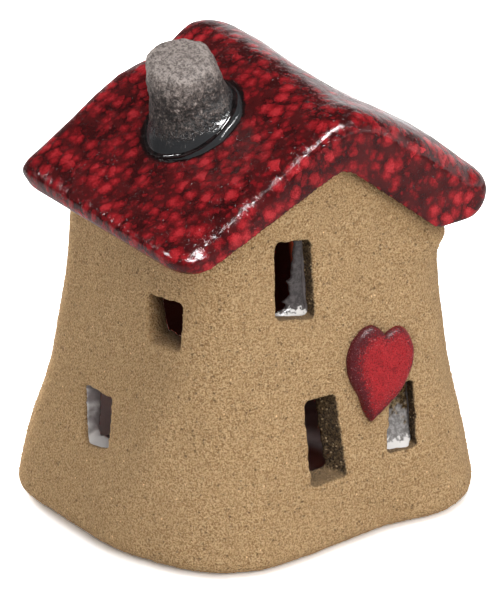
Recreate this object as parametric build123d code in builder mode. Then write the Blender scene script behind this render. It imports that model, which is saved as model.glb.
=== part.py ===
from build123d import *
import os
from math import atan, cos, radians, sin

# Tealight house of grogged stoneware: four slab walls luted at the corners, a floor,
# a draped roof slab, a chimney stub and a heart, with a tealight standing inside.
# Millimetres, +Z up. The origin is the middle of the footprint on the table.
# The front gable faces -Y, the eaves run along Y, and the doorway is at the back.

# Walls
base_width = 124.0
base_depth = 101.0
top_width = 86.6
top_depth = 83.4
eave_level = 100.0
gable_level = 118.0
wall = 6.0
front_corner_base = 36.5
front_corner_top = 14.0
rear_corner_base = 22.0
rear_corner_top = 14.0
side_crown_base = 1.8
side_crown_top = 0.7
foot_inset = 4.6
foot_height = 5.0
# height share of the eave level, and how much of the flare is left there
flare_shares = ((0.05, 1.0), (0.2, 0.755), (0.4, 0.39), (0.6, 0.15), (0.8, 0.03), (1.0, 0.0))
# height share of the foot, and share of its inset that is left there
foot_shares = ((0.0, 1.0), (0.3, 0.36))
# where the walls are held upright between the eave level and the gable level
gable_shares = (0.5, 1.0)

# Floor
floor_thickness = 6.0

# Roof slab: sizes at the front, and at the rear, where it sits higher
ridge_front_x = 4.0
ridge_front = 136.2
ridge_rear_x = 5.0
ridge_rear = 140.6
ridge_radius = 20.0
verge_front = 46.4
verge_rear = 41.6
left_reach = 54.9
left_tip = 99.2
left_eave = 49.0
left_eave_front = 103.4
left_eave_rear = 106.2
right_reach = 52.0
right_tip = 101.2
right_eave = 46.0
right_eave_front = 107.6
right_eave_rear = 109.0
# the edges of the slab are rolled over this far in from each end
verge_roll = 9.0
verge_drop = 6.8
verge_lift = 1.6
roof_corner = 9.0
# share of the roll passed, and share of the drop left there
verge_shares = ((0.0, 0.62), (0.08, 0.42), (0.28, 0.2), (0.6, 0.06), (1.0, 0.0))
# the slab hangs this far over the wall tops
roof_lip = 0.8
# hollow in the underside above the room
room_peak_x = 3.0
room_peak = 121.5
room_left = 30.0
room_right = 35.0
room_right_level = 101.0

# Underside of the roof slab, which the wall tops follow
under_apex_x = 0.0
under_apex = 115.7
under_left_x = 49.0
under_left = 96.2
under_right_x = 37.0
under_right = 91.5
under_tip_x = 45.0
under_tip = 94.2

# Windows: middle along the wall and up, and the size of the opening on the outer face.
# The corners are hand-cut and uneven: each is a share of the width and of the height from
# the middle, from the top left corner clockwise, first on the outer face, then on the inner.
upper_left_along = 21.5
upper_left_middle = 72.6
upper_left_width = 16.4
upper_left_height = 15.1
upper_left_outer_shares = ((-0.5, 0.37), (0.5, 0.5), (0.47, -0.49), (-0.39, -0.5))
upper_left_inner_shares = ((-0.63, 0.36), (0.47, 0.46), (0.45, -0.38), (-0.37, -0.37))

lower_left_along = -2.8
lower_left_middle = 35.1
lower_left_width = 19.1
lower_left_height = 16.9
lower_left_outer_shares = ((-0.5, 0.41), (0.25, 0.5), (0.5, -0.46), (-0.01, -0.5))
lower_left_inner_shares = ((-0.49, 0.38), (0.28, 0.46), (0.45, -0.41), (-0.24, -0.44))

upper_front_along = -13.3
upper_front_middle = 84.4
upper_front_width = 12.9
upper_front_height = 25.8
upper_front_outer_shares = ((-0.5, 0.5), (0.41, 0.43), (0.5, -0.5), (-0.49, -0.41))
upper_front_inner_shares = ((-0.53, 0.48), (0.34, 0.42), (0.39, -0.47), (-0.52, -0.4))

lower_front_along = -5.4
lower_front_middle = 35.3
lower_front_width = 12.0
lower_front_height = 25.3
lower_front_outer_shares = ((-0.5, 0.5), (0.5, 0.5), (0.45, -0.5), (-0.5, -0.5))
lower_front_inner_shares = ((-0.55, 0.48), (0.15, 0.47), (0.06, -0.4), (-0.55, -0.4))

right_front_along = 21.1
right_front_middle = 35.3
right_front_width = 10.5
right_front_height = 21.2
right_front_outer_shares = ((-0.37, 0.42), (0.42, 0.5), (0.5, -0.5), (-0.5, -0.48))
right_front_inner_shares = ((-0.41, 0.41), (0.55, 0.47), (0.53, -0.47), (-0.54, -0.45))

window_corner = 1.2
# the cut starts this far outside the face and ends this far past the inside, in walls
window_outside_share = 0.9
window_inside_share = 0.6

# Rear doorway
doorway_x = 4.0
doorway_width = 43.0
doorway_height = 27.0
doorway_corner = 13.0

# Heart on the front wall
heart_x = 9.9
heart_z = 37.1
heart_lean = 13.3
heart_half_width = 11.5
heart_height = 27.6
heart_thickness = 4.2
heart_edge_round = 3.0
heart_bed = 8.0
heart_notch_share = 0.925
# half outline from the tip to the lobe, across and up
heart_outline_shares = ((0.4, 0.15), (0.69, 0.3), (0.9, 0.46), (1.0, 0.64), (0.94, 0.81), (0.73, 0.94), (0.44, 1.0))

# Chimney stub on the left slope
chimney_x = -21.3
chimney_y = -3.4
chimney_seat = 122.1
chimney_rise = 20.0
chimney_top_x = -24.7
chimney_top_y = -1.3
chimney_foot_radius = 17.0
chimney_waist_radius = 11.9
chimney_top_radius = 11.0
chimney_top_tilt = 11.0
chimney_waist_share = 0.34
chimney_sink = 3.0
chimney_edge_round = 3.0

# Tealight
tealight_y = 15.0
cup_diameter = 37.6
cup_height = 16.0
cup_wall = 0.4
cup_foot_round = 1.5
cup_rim_width = 0.6
cup_rim_height = 0.7
tealight_gap = 0.3
wax_gap = 0.1
wax_height = 11.0
wax_dish = 0.6
# share of the dish that is left halfway to the wick
wax_dish_share = 0.75
sustainer_diameter = 12.0
sustainer_thickness = 0.5
sustainer_neck_diameter = 3.2
sustainer_neck_height = 2.4
wick_diameter = 1.4
wick_height = 18.5

overrun = 2.0

os.makedirs("parts", exist_ok=True)


def finish(part, name):
    part.label = name
    export_step(part, "parts/" + name + ".step")
    print(name, len(part.solids()), "solid", round(part.volume), "mm3")


# Shape of the four walls together
def level(flare, inset=0.0):
    half_width = (top_width + (base_width - top_width) * flare) / 2 - inset
    half_depth = (top_depth + (base_depth - top_depth) * flare) / 2 - inset
    front_radius = front_corner_top + (front_corner_base - front_corner_top) * flare - inset
    rear_radius = rear_corner_top + (rear_corner_base - rear_corner_top) * flare - inset
    crown = side_crown_top + (side_crown_base - side_crown_top) * flare
    return half_width, half_depth, front_radius, rear_radius, crown


def ring_levels(inset):
    rings = []
    for height_share, inset_share in foot_shares:
        rings.append((foot_height * height_share, level(1.0, inset + foot_inset * inset_share)))
    for height_share, flare in flare_shares:
        rings.append((eave_level * height_share, level(flare, inset)))
    for gable_share in gable_shares:
        rings.append((eave_level + (gable_level - eave_level) * gable_share, level(0.0, inset)))
    return rings


def flare_at(height):
    levels = [(eave_level * height_share, flare) for height_share, flare in flare_shares]
    for (low, flare_low), (high, flare_high) in zip(levels, levels[1:]):
        if low <= height <= high:
            return flare_low + (flare_high - flare_low) * (height - low) / (high - low)
    return 0.0


def side_face_at(height):
    return level(flare_at(height))[0]


def front_face_at(height):
    return level(flare_at(height))[1]


def wall_loft(inset):
    with BuildPart() as body:
        for height, (half_width, half_depth, front_radius, rear_radius, crown) in ring_levels(inset):
            with BuildSketch(Plane.XY.offset(height)) as ring:
                with BuildLine():
                    right_front = (half_width - crown, -half_depth + crown)
                    right_rear = (half_width - crown, half_depth - crown)
                    left_rear = (-half_width + crown, half_depth - crown)
                    left_front = (-half_width + crown, -half_depth + crown)
                    ThreePointArc(left_front, (0, -half_depth), right_front)
                    ThreePointArc(right_front, (half_width, 0), right_rear)
                    ThreePointArc(right_rear, (0, half_depth), left_rear)
                    ThreePointArc(left_rear, (-half_width, 0), left_front)
                make_face()
                fillet(ring.vertices().group_by(Axis.Y)[0], radius=front_radius)
                fillet(ring.vertices().group_by(Axis.Y)[-1], radius=rear_radius)
        loft()
    return body.part


outer_form = wall_loft(0.0)
inner_form = wall_loft(wall)


# Everything above the underside of the roof slab, to trim the wall tops with
def underside_points():
    return [
        (under_tip_x, under_tip),
        (under_right_x, under_right),
        (under_apex_x, under_apex),
        (-under_left_x, under_left),
    ]


def under_at(x):
    if x < under_apex_x:
        return under_apex + (under_left - under_apex) * (under_apex_x - x) / (under_apex_x + under_left_x)
    return under_apex + (under_right - under_apex) * (x - under_apex_x) / (under_right_x - under_apex_x)


with BuildPart() as above_walls:
    with BuildSketch(Plane.XZ):
        with BuildLine():
            Polyline(
                (base_width, under_tip),
                *underside_points(),
                (-base_width, under_left),
                (-base_width, ridge_rear + overrun),
                (base_width, ridge_rear + overrun),
                close=True,
            )
        make_face()
    extrude(amount=base_depth, both=True)

with BuildPart() as shell:
    add(outer_form)
    add(inner_form, mode=Mode.SUBTRACT)
    add(above_walls.part, mode=Mode.SUBTRACT)


# A wedge from the middle of the house through two corners, for the mitred joints
def mitre_wedge(side_x, side_y):
    corner_x = top_width / 2
    corner_y = top_depth / 2
    reach = base_width / corner_y
    with BuildPart() as wedge:
        with BuildSketch(Plane.XY.offset(-overrun)):
            with BuildLine():
                if side_y:
                    ends = [(-corner_x, side_y * corner_y), (corner_x, side_y * corner_y)]
                else:
                    ends = [(side_x * corner_x, -corner_y), (side_x * corner_x, corner_y)]
                Polyline((0, 0), *[(x * reach, y * reach) for x, y in ends], close=True)
            make_face()
        extrude(amount=gable_level + overrun + overrun)
    return wedge.part


# A hand-cut window, from its outline on the outer face to that on the inner face
def window_cut(face_plane, along, middle, width, height, outer_shares, inner_shares):
    with BuildPart() as cut:
        for depth_share in (-window_outside_share, 1 + window_inside_share):
            corners = []
            for (out_x, out_z), (in_x, in_z) in zip(outer_shares, inner_shares):
                across = out_x + (in_x - out_x) * depth_share
                up = out_z + (in_z - out_z) * depth_share
                corners.append((along + width * across, middle + height * up))
            with BuildSketch(face_plane.offset(-wall * depth_share)) as opening:
                with BuildLine():
                    Polyline(*corners, close=True)
                make_face()
                fillet(opening.vertices(), radius=window_corner)
        loft()
    return cut.part


def front_plane(height):
    return Plane(origin=(0, -front_face_at(height), 0), x_dir=(1, 0, 0), z_dir=(0, -1, 0))


# a place along the left wall is counted towards the front
def left_plane(height):
    return Plane(origin=(-side_face_at(height), 0, 0), x_dir=(0, -1, 0), z_dir=(-1, 0, 0))


# Front wall
upper_front_cut = window_cut(
    front_plane(upper_front_middle),
    upper_front_along,
    upper_front_middle,
    upper_front_width,
    upper_front_height,
    upper_front_outer_shares,
    upper_front_inner_shares,
)
lower_front_cut = window_cut(
    front_plane(lower_front_middle),
    lower_front_along,
    lower_front_middle,
    lower_front_width,
    lower_front_height,
    lower_front_outer_shares,
    lower_front_inner_shares,
)
right_front_cut = window_cut(
    front_plane(right_front_middle),
    right_front_along,
    right_front_middle,
    right_front_width,
    right_front_height,
    right_front_outer_shares,
    right_front_inner_shares,
)

with BuildPart() as front_wall:
    add(shell.part)
    add(mitre_wedge(0, -1), mode=Mode.INTERSECT)
    add(upper_front_cut, mode=Mode.SUBTRACT)
    add(lower_front_cut, mode=Mode.SUBTRACT)
    add(right_front_cut, mode=Mode.SUBTRACT)
finish(front_wall.part, "front_wall")

# Left wall
upper_left_cut = window_cut(
    left_plane(upper_left_middle),
    upper_left_along,
    upper_left_middle,
    upper_left_width,
    upper_left_height,
    upper_left_outer_shares,
    upper_left_inner_shares,
)
lower_left_cut = window_cut(
    left_plane(lower_left_middle),
    lower_left_along,
    lower_left_middle,
    lower_left_width,
    lower_left_height,
    lower_left_outer_shares,
    lower_left_inner_shares,
)

with BuildPart() as left_wall:
    add(shell.part)
    add(mitre_wedge(-1, 0), mode=Mode.INTERSECT)
    add(upper_left_cut, mode=Mode.SUBTRACT)
    add(lower_left_cut, mode=Mode.SUBTRACT)
finish(left_wall.part, "left_wall")

# Right wall
with BuildPart() as right_wall:
    add(shell.part)
    add(mitre_wedge(1, 0), mode=Mode.INTERSECT)
finish(right_wall.part, "right_wall")

# Rear wall, with the doorway that the tealight goes in through
with BuildPart() as doorway:
    with BuildSketch(Plane.XZ) as arch:
        with Locations((doorway_x, floor_thickness + doorway_height / 2)):
            Rectangle(doorway_width, doorway_height)
        fillet(arch.vertices().group_by(Axis.Y)[-1], radius=doorway_corner)
    extrude(amount=-base_depth)

with BuildPart() as rear_wall:
    add(shell.part)
    add(mitre_wedge(0, 1), mode=Mode.INTERSECT)
    add(doorway.part, mode=Mode.SUBTRACT)
finish(rear_wall.part, "rear_wall")

# Floor, laid inside the foot of the walls
with BuildPart() as floor_slab:
    add(inner_form)
    split(bisect_by=Plane.XY.offset(floor_thickness), keep=Keep.BOTTOM)
finish(floor_slab.part, "floor_slab")


# Roof slab: outlines from the front to the rear, drawn in at both ends as the edge rolls over
def roof_outline(along, rolled):
    peak_x = ridge_front_x + (ridge_rear_x - ridge_front_x) * along
    peak = ridge_front + (ridge_rear - ridge_front) * along - verge_drop * rolled
    left_top = left_eave_front + (left_eave_rear - left_eave_front) * along - verge_drop * rolled
    right_top = right_eave_front + (right_eave_rear - right_eave_front) * along - verge_drop * rolled
    inward = roof_corner * rolled
    lift = verge_lift * rolled - roof_lip
    with BuildLine() as outline:
        slopes = FilletPolyline(
            (-left_eave + inward, left_top),
            (peak_x, peak),
            (right_eave - inward, right_top),
            radius=ridge_radius,
        )
        under = Polyline(
            (under_tip_x - inward, under_tip + lift),
            (under_right_x - inward, under_right + lift),
            (under_apex_x, under_apex + lift),
            (-under_left_x + inward, under_left + lift),
        )
        Spline(
            slopes @ 1,
            (right_reach - inward, right_tip),
            under @ 0,
            tangents=(slopes % 1, under % 0),
        )
        Spline(
            under @ 1,
            (-left_reach + inward, left_tip),
            slopes @ 0,
            tangents=(under % 1, slopes % 0),
        )
    return outline.line


with BuildPart() as roof_form:
    front_steps = [(-verge_front + verge_roll * share, rolled) for share, rolled in verge_shares]
    rear_steps = [(verge_rear - verge_roll * share, rolled) for share, rolled in verge_shares]
    for y, rolled in front_steps + rear_steps[::-1]:
        with BuildSketch(Plane.XZ.offset(-y)):
            add(roof_outline((y + verge_front) / (verge_front + verge_rear), rolled))
            make_face()
    loft()

with BuildPart() as room_top:
    with BuildSketch(Plane.XZ):
        with BuildLine():
            Polyline(
                (-room_left, under_left),
                (-room_left, under_at(-room_left)),
                (room_peak_x, room_peak),
                (room_right, room_right_level),
                (room_right, under_left - wall),
                close=True,
            )
        make_face()
    extrude(amount=top_depth / 2 - wall, both=True)

with BuildPart() as walls_below_roof:
    add(outer_form)
    add(above_walls.part, mode=Mode.SUBTRACT)

with BuildPart() as roof:
    add(roof_form.part)
    add(walls_below_roof.part, mode=Mode.SUBTRACT)
    add(room_top.part, mode=Mode.SUBTRACT)
finish(roof.part, "roof")


# Chimney stub: a waisted, leaning lump on the left slope, with its top cut slanting
with BuildPart() as chimney:
    seat = Vector(chimney_x, chimney_y, chimney_seat)
    top = Vector(chimney_top_x, chimney_top_y, chimney_seat + chimney_rise)
    along = (top - seat).normalized()
    slope = Vector(-(chimney_seat - left_eave_front) / (left_eave + chimney_x), 0, 1).normalized()
    tilt = radians(chimney_top_tilt)
    waist = seat + (top - seat) * chimney_waist_share
    with BuildSketch(Plane(origin=seat - along * chimney_sink, x_dir=(0, 1, 0), z_dir=slope)):
        Circle(chimney_foot_radius)
    with BuildSketch(Plane(origin=waist, x_dir=(0, 1, 0), z_dir=along)):
        Circle(chimney_waist_radius)
    with BuildSketch(Plane(origin=top, x_dir=(0, cos(tilt), sin(tilt)), z_dir=(0, -sin(tilt), cos(tilt)))):
        Circle(chimney_top_radius)
    loft()
    fillet(chimney.edges().sort_by(Axis.Z)[-1], radius=chimney_edge_round)
    add(roof_form.part, mode=Mode.SUBTRACT)
finish(chimney.part, "chimney")


# Heart: a pillowed slab pressed onto the front wall, following its lean
with BuildPart() as heart:
    rise = heart_height / 2
    low_face = front_face_at(heart_z)
    high_face = front_face_at(heart_z + heart_height)
    wall_lean = atan((low_face - high_face) / heart_height)
    turn = radians(heart_lean)
    heart_plane = Plane(
        origin=(heart_x, -low_face, heart_z),
        x_dir=(cos(turn), -sin(turn) * sin(wall_lean), -sin(turn)),
        z_dir=(0, -cos(wall_lean), sin(wall_lean)),
    )
    with BuildSketch(heart_plane.offset(-heart_bed)) as heart_outline:
        right_side = [(heart_half_width * across, heart_height * up) for across, up in heart_outline_shares]
        left_side = [(-across, up) for across, up in right_side[::-1]]
        notch = (0, heart_height * heart_notch_share)
        with BuildLine():
            Spline((0, 0), *right_side, notch)
            Spline(notch, *left_side, (0, 0))
        make_face()
    extrude(amount=heart_bed + heart_thickness)
    fillet(heart.faces().sort_by(Axis.Y)[0].edges(), radius=heart_edge_round)
    add(outer_form, mode=Mode.SUBTRACT)
finish(heart.part, "heart")


# Tealight cup, pressed thin, with a rolled rim
cup_radius = cup_diameter / 2
tealight_level = floor_thickness + tealight_gap
tealight_plane = Plane(origin=(doorway_x, tealight_y, 0), z_dir=(0, 0, 1))
with BuildPart() as cup_inside:
    with BuildSketch(tealight_plane.offset(tealight_level + cup_wall)):
        Circle(cup_radius - cup_wall)
    extrude(amount=cup_height)
    fillet(cup_inside.faces().sort_by(Axis.Z)[0].edges(), radius=cup_foot_round - cup_wall)

with BuildPart() as tealight_cup:
    with BuildSketch(tealight_plane.offset(tealight_level)):
        Circle(cup_radius)
    extrude(amount=cup_height)
    fillet(tealight_cup.faces().sort_by(Axis.Z)[0].edges(), radius=cup_foot_round)
    with BuildSketch(tealight_plane.offset(tealight_level + cup_height - cup_rim_height)):
        Circle(cup_radius + cup_rim_width)
    extrude(amount=cup_rim_height)
    add(cup_inside.part, mode=Mode.SUBTRACT)
finish(tealight_cup.part, "tealight_cup")

# Wick sustainer: a disc with a short neck, on the floor of the cup
sustainer_level = tealight_level + cup_wall
with BuildPart() as wick_sustainer:
    with BuildSketch(tealight_plane.offset(sustainer_level)):
        Circle(sustainer_diameter / 2)
    extrude(amount=sustainer_thickness)
    with BuildSketch(tealight_plane.offset(sustainer_level + sustainer_thickness)):
        Circle(sustainer_neck_diameter / 2)
    extrude(amount=sustainer_neck_height)
    with BuildSketch(tealight_plane.offset(sustainer_level + sustainer_thickness)):
        Circle(wick_diameter / 2)
    extrude(amount=sustainer_neck_height + overrun, mode=Mode.SUBTRACT)
finish(wick_sustainer.part, "wick_sustainer")

# Wick, standing in the neck
with BuildPart() as wick:
    with BuildSketch(tealight_plane.offset(sustainer_level + sustainer_thickness)):
        Circle(wick_diameter / 2)
    extrude(amount=wick_height)
finish(wick.part, "wick")

# Wax, cast round the sustainer and the wick, a little dished
with BuildPart() as tealight_wax:
    with BuildSketch(Plane(origin=(doorway_x, tealight_y, 0), x_dir=(1, 0, 0), z_dir=(0, -1, 0))):
        with BuildLine():
            Polyline(
                (0, sustainer_level),
                (cup_radius - cup_wall - cup_foot_round - wax_gap, sustainer_level),
                (cup_radius - cup_wall - wax_gap, sustainer_level + cup_foot_round),
                (cup_radius - cup_wall - wax_gap, sustainer_level + wax_height),
            )
            ThreePointArc(
                (cup_radius - cup_wall - wax_gap, sustainer_level + wax_height),
                (cup_radius / 2, sustainer_level + wax_height - wax_dish * wax_dish_share),
                (0, sustainer_level + wax_height - wax_dish),
            )
            Line((0, sustainer_level + wax_height - wax_dish), (0, sustainer_level))
        make_face()
    revolve(axis=Axis((doorway_x, tealight_y, 0), (0, 0, 1)))
    add(wick_sustainer.part, mode=Mode.SUBTRACT)
    with BuildSketch(tealight_plane.offset(sustainer_level)):
        Circle(wick_diameter / 2)
    extrude(amount=wick_height, mode=Mode.SUBTRACT)
finish(tealight_wax.part, "tealight_wax")
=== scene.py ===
import math

import bmesh
import bpy
import numpy as np
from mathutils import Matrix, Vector
from mathutils.bvhtree import BVHTree


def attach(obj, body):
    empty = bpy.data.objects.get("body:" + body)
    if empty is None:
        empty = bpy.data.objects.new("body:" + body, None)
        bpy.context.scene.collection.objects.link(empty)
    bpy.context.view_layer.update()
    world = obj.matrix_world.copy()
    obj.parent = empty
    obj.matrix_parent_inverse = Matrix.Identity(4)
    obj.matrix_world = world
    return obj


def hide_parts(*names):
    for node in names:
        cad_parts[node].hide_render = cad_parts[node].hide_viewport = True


bl_info = {
    "name": "Tealight house",
    "version": (1, 0, 0),
    "blender": (4, 5, 0),
    "location": "View3D > Sidebar > Tealight house",
    "description": "Finishes of a hand-built stoneware tealight house",
    "category": "Object",
}

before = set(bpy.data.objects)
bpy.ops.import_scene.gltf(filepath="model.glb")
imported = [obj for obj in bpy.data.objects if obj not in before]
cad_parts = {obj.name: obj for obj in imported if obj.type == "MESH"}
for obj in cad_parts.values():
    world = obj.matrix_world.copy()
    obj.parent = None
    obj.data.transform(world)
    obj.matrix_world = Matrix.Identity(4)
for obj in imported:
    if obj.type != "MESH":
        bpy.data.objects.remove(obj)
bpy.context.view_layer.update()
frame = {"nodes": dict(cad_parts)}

# Sizes are in millimetres, as the model has them. The front gable faces -Y.
MM = 0.001

# Walls: outer sizes at the table and under the roof, and how the flare grows downwards
BASE_WIDTH = 124.0
BASE_DEPTH = 101.0
TOP_WIDTH = 86.6
TOP_DEPTH = 83.4
WALL = 6.0
FLOOR = 6.0
FLARE_LEVELS = (5.0, 20.0, 40.0, 60.0, 80.0, 100.0)
FLARE_SHARES = (1.0, 0.755, 0.39, 0.15, 0.03, 0.0)

# Corner radii, and how far the middles of the faces bow out: at the table and at the top
FRONT_LEFT_CORNER = (41.0, 14.0)
FRONT_RIGHT_CORNER = (34.0, 14.0)
REAR_CORNER = (22.0, 14.0)
LEAST_RADIUS = 2.0
CROWN = (1.8, 0.7)
FLAT_SHARE = 0.7

# The worn lower edge of the walls
FOOT_INSET = 4.6
FOOT_HEIGHT = 5.0
FOOT_POWER = 2.9

# Levels of the rings that the walls are drawn through, and the points of each ring
FOOT_LEVELS = (0.0, 0.5, 1.1, 1.8, 2.7, 3.8, 5.0)
WALL_LEVELS = np.unique(np.r_[FOOT_LEVELS, np.linspace(6, 118, 70)])
CORNER_POINTS = 15
SIDE_POINTS = 20
WALL_SMOOTHING = 2
ROOM_FOOT = -3.0
ROOM_HEAD = 121.0

# Underside of the roof slab across the house, and how far its edge laps down over the walls
UNDER_LEFT = (-49.0, 96.2)
UNDER_APEX = (0.4, 117.4)
UNDER_RIGHT = (37.0, 91.5)
UNDER_TIP = (45.0, 94.2)
ROOF_LIP = 0.8
CLEAR_OF_HOUSE = 90.0
ABOVE_HOUSE = 150.0

# How far the foot of the walls stands out of true, by direction seen from above in degrees,
# counted from +X towards +Y: at the table, and a third of the way up
FOOT_SHIFT = (
    (-180, -2.1), (-171, -2.4), (-163, -3.0), (-154, -2.3), (-144, 0.6), (-133, 2.6),
    (-121, 2.0), (-111, 0.5), (-103, -0.3), (-93, -1.6), (-82, -2.4), (-69, -3.6),
    (-61, -2.4), (-52, 0.8), (-44, 1.6), (-37, 1.0), (-28, 0.4), (0, 0.3),
    (90, 0.0), (140, 0.4), (155, -0.2), (163, -1.2), (170, -1.5), (180, -2.1),
)
SIDE_SHIFT = (
    (-180, 0.2), (-150, 0.0), (-75, 0.0), (-60, 0.2), (-45, 1.0), (-25, 0.8),
    (0, 0.4), (90, 0.0), (125, 0.8), (150, 1.4), (165, 1.0), (180, 0.2),
)

# How these shifts fade with height: the levels, and the share that is left at each
FOOT_FADE = ((0.0, 4.0, 16.0, 32.0, 130.0), (1.0, 1.0, 0.45, 0.0, 0.0))
SIDE_FADE = ((0.0, 8.0, 35.0, 60.0, 85.0, 130.0), (0.5, 0.8, 1.0, 0.6, 0.15, 0.0))

# The clay squeezed outwards under the right eave: how far, at what height and from where across
SQUEEZED = 2.4
SQUEEZED_LEVEL = 85.5
SQUEEZED_REACH = 4.0
SQUEEZED_FROM = 15.0

# Lumps on the surfaces: how high, how wide, and the seed of each layer
WALL_LUMPS = ((0.32, 19.0, 3), (0.13, 6.0, 4))
WALL_GRIT = ((0.10, 1.7, 5), (0.07, 0.9, 6))
ROOF_LUMPS = ((0.35, 17.0, 11), (0.16, 7.0, 12))
CHIMNEY_LUMPS = ((0.6, 7.5, 21), (0.34, 2.8, 22), (0.2, 1.2, 23))
HEART_LUMPS = ((0.16, 3.2, 53), (0.07, 1.3, 54))
CRUMB_LUMPS = ((0.5, 1.1, 72),)
RUN_RAGGED = ((0.5, 1.5, 61),)
HEART_WAVER = ((0.25, 5.0, 51), (0.25, 5.0, 52))
GRIT_LIFT = 0.1
FIRM_FOOT = 1.5
LUMPS_SUNK = 0.2

# Random shifts of every point along the three axes: how far, how wide, and the first seed
WINDOW_WEAR = (0.28, 2.6, 40)
RUN_WEAR = (0.18, 1.8, 62)

# Windows: corners along the wall and up, from the top left clockwise, on the outer and on the
# inner face. Along the left wall counts towards the front. The clay of the reveal stays bare
# down to the given shares of the wall, at the sill of the window and at its top.
WINDOWS = {
    "upper_left": {
        "face": "left",
        "outer": ((13.3, 78.2), (29.8, 80.2), (29.2, 65.2), (15.2, 65.0)),
        "inner": ((11.1, 78.0), (29.2, 79.5), (28.8, 66.9), (15.4, 67.0)),
        "bare_shares": (0.95, 0.9),
    },
    "lower_left": {
        "face": "left",
        "outer": ((-12.0, 42.2), (3.1, 43.3), (6.3, 28.6), (-5.3, 26.9)),
        "inner": ((-11.8, 41.8), (3.3, 42.6), (5.6, 29.3), (-8.2, 28.2)),
        "bare_shares": (0.2, 0.1),
    },
    "upper_front": {
        "face": "front",
        "outer": ((-19.8, 97.3), (-8.1, 95.5), (-6.9, 71.5), (-19.7, 73.9)),
        "inner": ((-20.2, 96.8), (-8.9, 95.2), (-8.3, 72.4), (-20.0, 74.2)),
        "bare_shares": (0.45, 0.6),
    },
    "lower_front": {
        "face": "front",
        "outer": ((-11.4, 47.9), (0.6, 47.9), (0.1, 22.8), (-11.4, 22.7)),
        "inner": ((-12.0, 47.4), (-3.6, 47.2), (-4.7, 25.2), (-12.0, 25.3)),
        "bare_shares": (1.0, 1.0),
    },
    "right_front": {
        "face": "front",
        "outer": ((17.3, 44.3), (25.5, 45.9), (26.3, 24.7), (15.9, 25.1)),
        "inner": ((16.8, 44.0), (26.9, 45.2), (26.7, 25.4), (15.4, 25.8)),
        "bare_shares": (0.6, 0.66),
    },
}
WINDOW_CORNER = 1.3
PLUG_DEPTH_SHARES = (-0.9, -0.2, 0.05, 0.3, 0.55, 0.8, 1.0, 1.6)
DOORWAY = {"x": 4.0, "width": 43.0, "height": 27.0, "corner": 13.0, "start": 20.0}

# Where the left wall is worn in beside its windows: along and up, half sizes, and how deep
SCOOPS = (
    (11.6, 71.0, 2.4, 8.0, 0.5),
    (22.0, 62.0, 8.0, 2.4, 0.7),
    (-12.0, 34.0, 3.0, 8.5, 0.5),
    (0.0, 24.0, 5.0, 2.0, 0.5),
)

# Limits that tell the left wall from the front, the two windows of the left wall from each
# other, and the surrounds of the doorway, of the windows and of the heart from the rest
LEFT_WALL_X = -28.0
REAR_PART_Y = 25.0
UPPER_WINDOW_FOOT = 55.0
ROUND_DOORWAY = {"head": 36.0, "half": 24.0}
ROUND_WINDOW = {"before": 6.0, "after": 3.0, "level": 2.5}
ROUND_HEART = {"front": -30.0, "left": -8.0, "right": 30.0}

# Clay crumbled beside the heart: how far it reaches, stands out, and how patchy it is
CRUMB_REACH = 1.5
CRUMB_RISE = 0.35
CRUMB_PATCH = 2.5
FAR_AWAY = 99.0

# Shares of the wall's thickness: where the inner face starts, and where the outer one ends
INSIDE_SHARE = 1.02
OUTSIDE_SHARE = 0.6
KEPT_INSIDE_SHARE = 0.58

# Runs of glaze in two front windows. Each row: the height, where the run starts and ends
# across the window, and how deep in the wall its front and its back lie.
UPPER_RUN = (
    (72.4, -7.2, -19.4, 2.0, 5.6),
    (73.6, -7.4, -18.0, 2.6, 6.2),
    (74.4, -7.5, -14.2, 3.0, 6.4),
    (75.6, -7.6, -13.2, 3.4, 6.6),
    (76.8, -7.7, -14.6, 3.6, 6.6),
    (77.6, -7.8, -11.8, 3.6, 6.6),
    (81.4, -8.0, -11.8, 3.8, 6.6),
    (82.2, -8.0, -13.4, 3.9, 6.6),
    (83.0, -8.1, -11.4, 3.9, 6.5),
    (86.0, -8.2, -10.9, 3.9, 6.4),
    (90.0, -8.3, -10.7, 3.8, 6.3),
    (95.8, -8.4, -10.6, 3.6, 6.2),
)
RIGHT_RUN = (
    (24.4, 24.4, 15.2, 1.4, 6.4),
    (26.5, 26.0, 15.4, 2.4, 6.6),
    (28.0, 26.4, 15.8, 3.2, 6.8),
    (33.0, 26.6, 16.6, 3.9, 7.0),
    (38.0, 26.7, 18.0, 4.2, 7.0),
    (42.0, 26.8, 20.0, 4.3, 7.0),
    (45.6, 26.8, 22.4, 4.3, 7.0),
)

RUN_RINGS = 34
RUN_AROUND = 24

# Roof slab across the house, at its front. The second row of each pair is added at the rear.
ROOF_PEAK = np.array(((4.0, 136.2), (4.0, 4.4)))
LEFT_EAVE = np.array(((-49.0, 103.4), (0.0, 2.8)))
RIGHT_EAVE = np.array(((46.0, 107.6), (0.0, 1.4)))
LEFT_TIP = (-55.0, 99.2)
RIGHT_TIP = (53.4, 100.2)
TIP_REACH = (2.0, -2.2)

# How far from the peak the ridge is rounded, above and below, and how full the eaves are
RIDGE_REACH = 15.0
APEX_REACH = 5.0
EAVE_FULLNESS = 1.15

# Where the ridge sags and rises: how far, at what share of its length, and over what share
PEAK_SAG = (1.3, 0.18, 0.16)
PEAK_RISE = (1.3, 0.72, 0.24)

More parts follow.
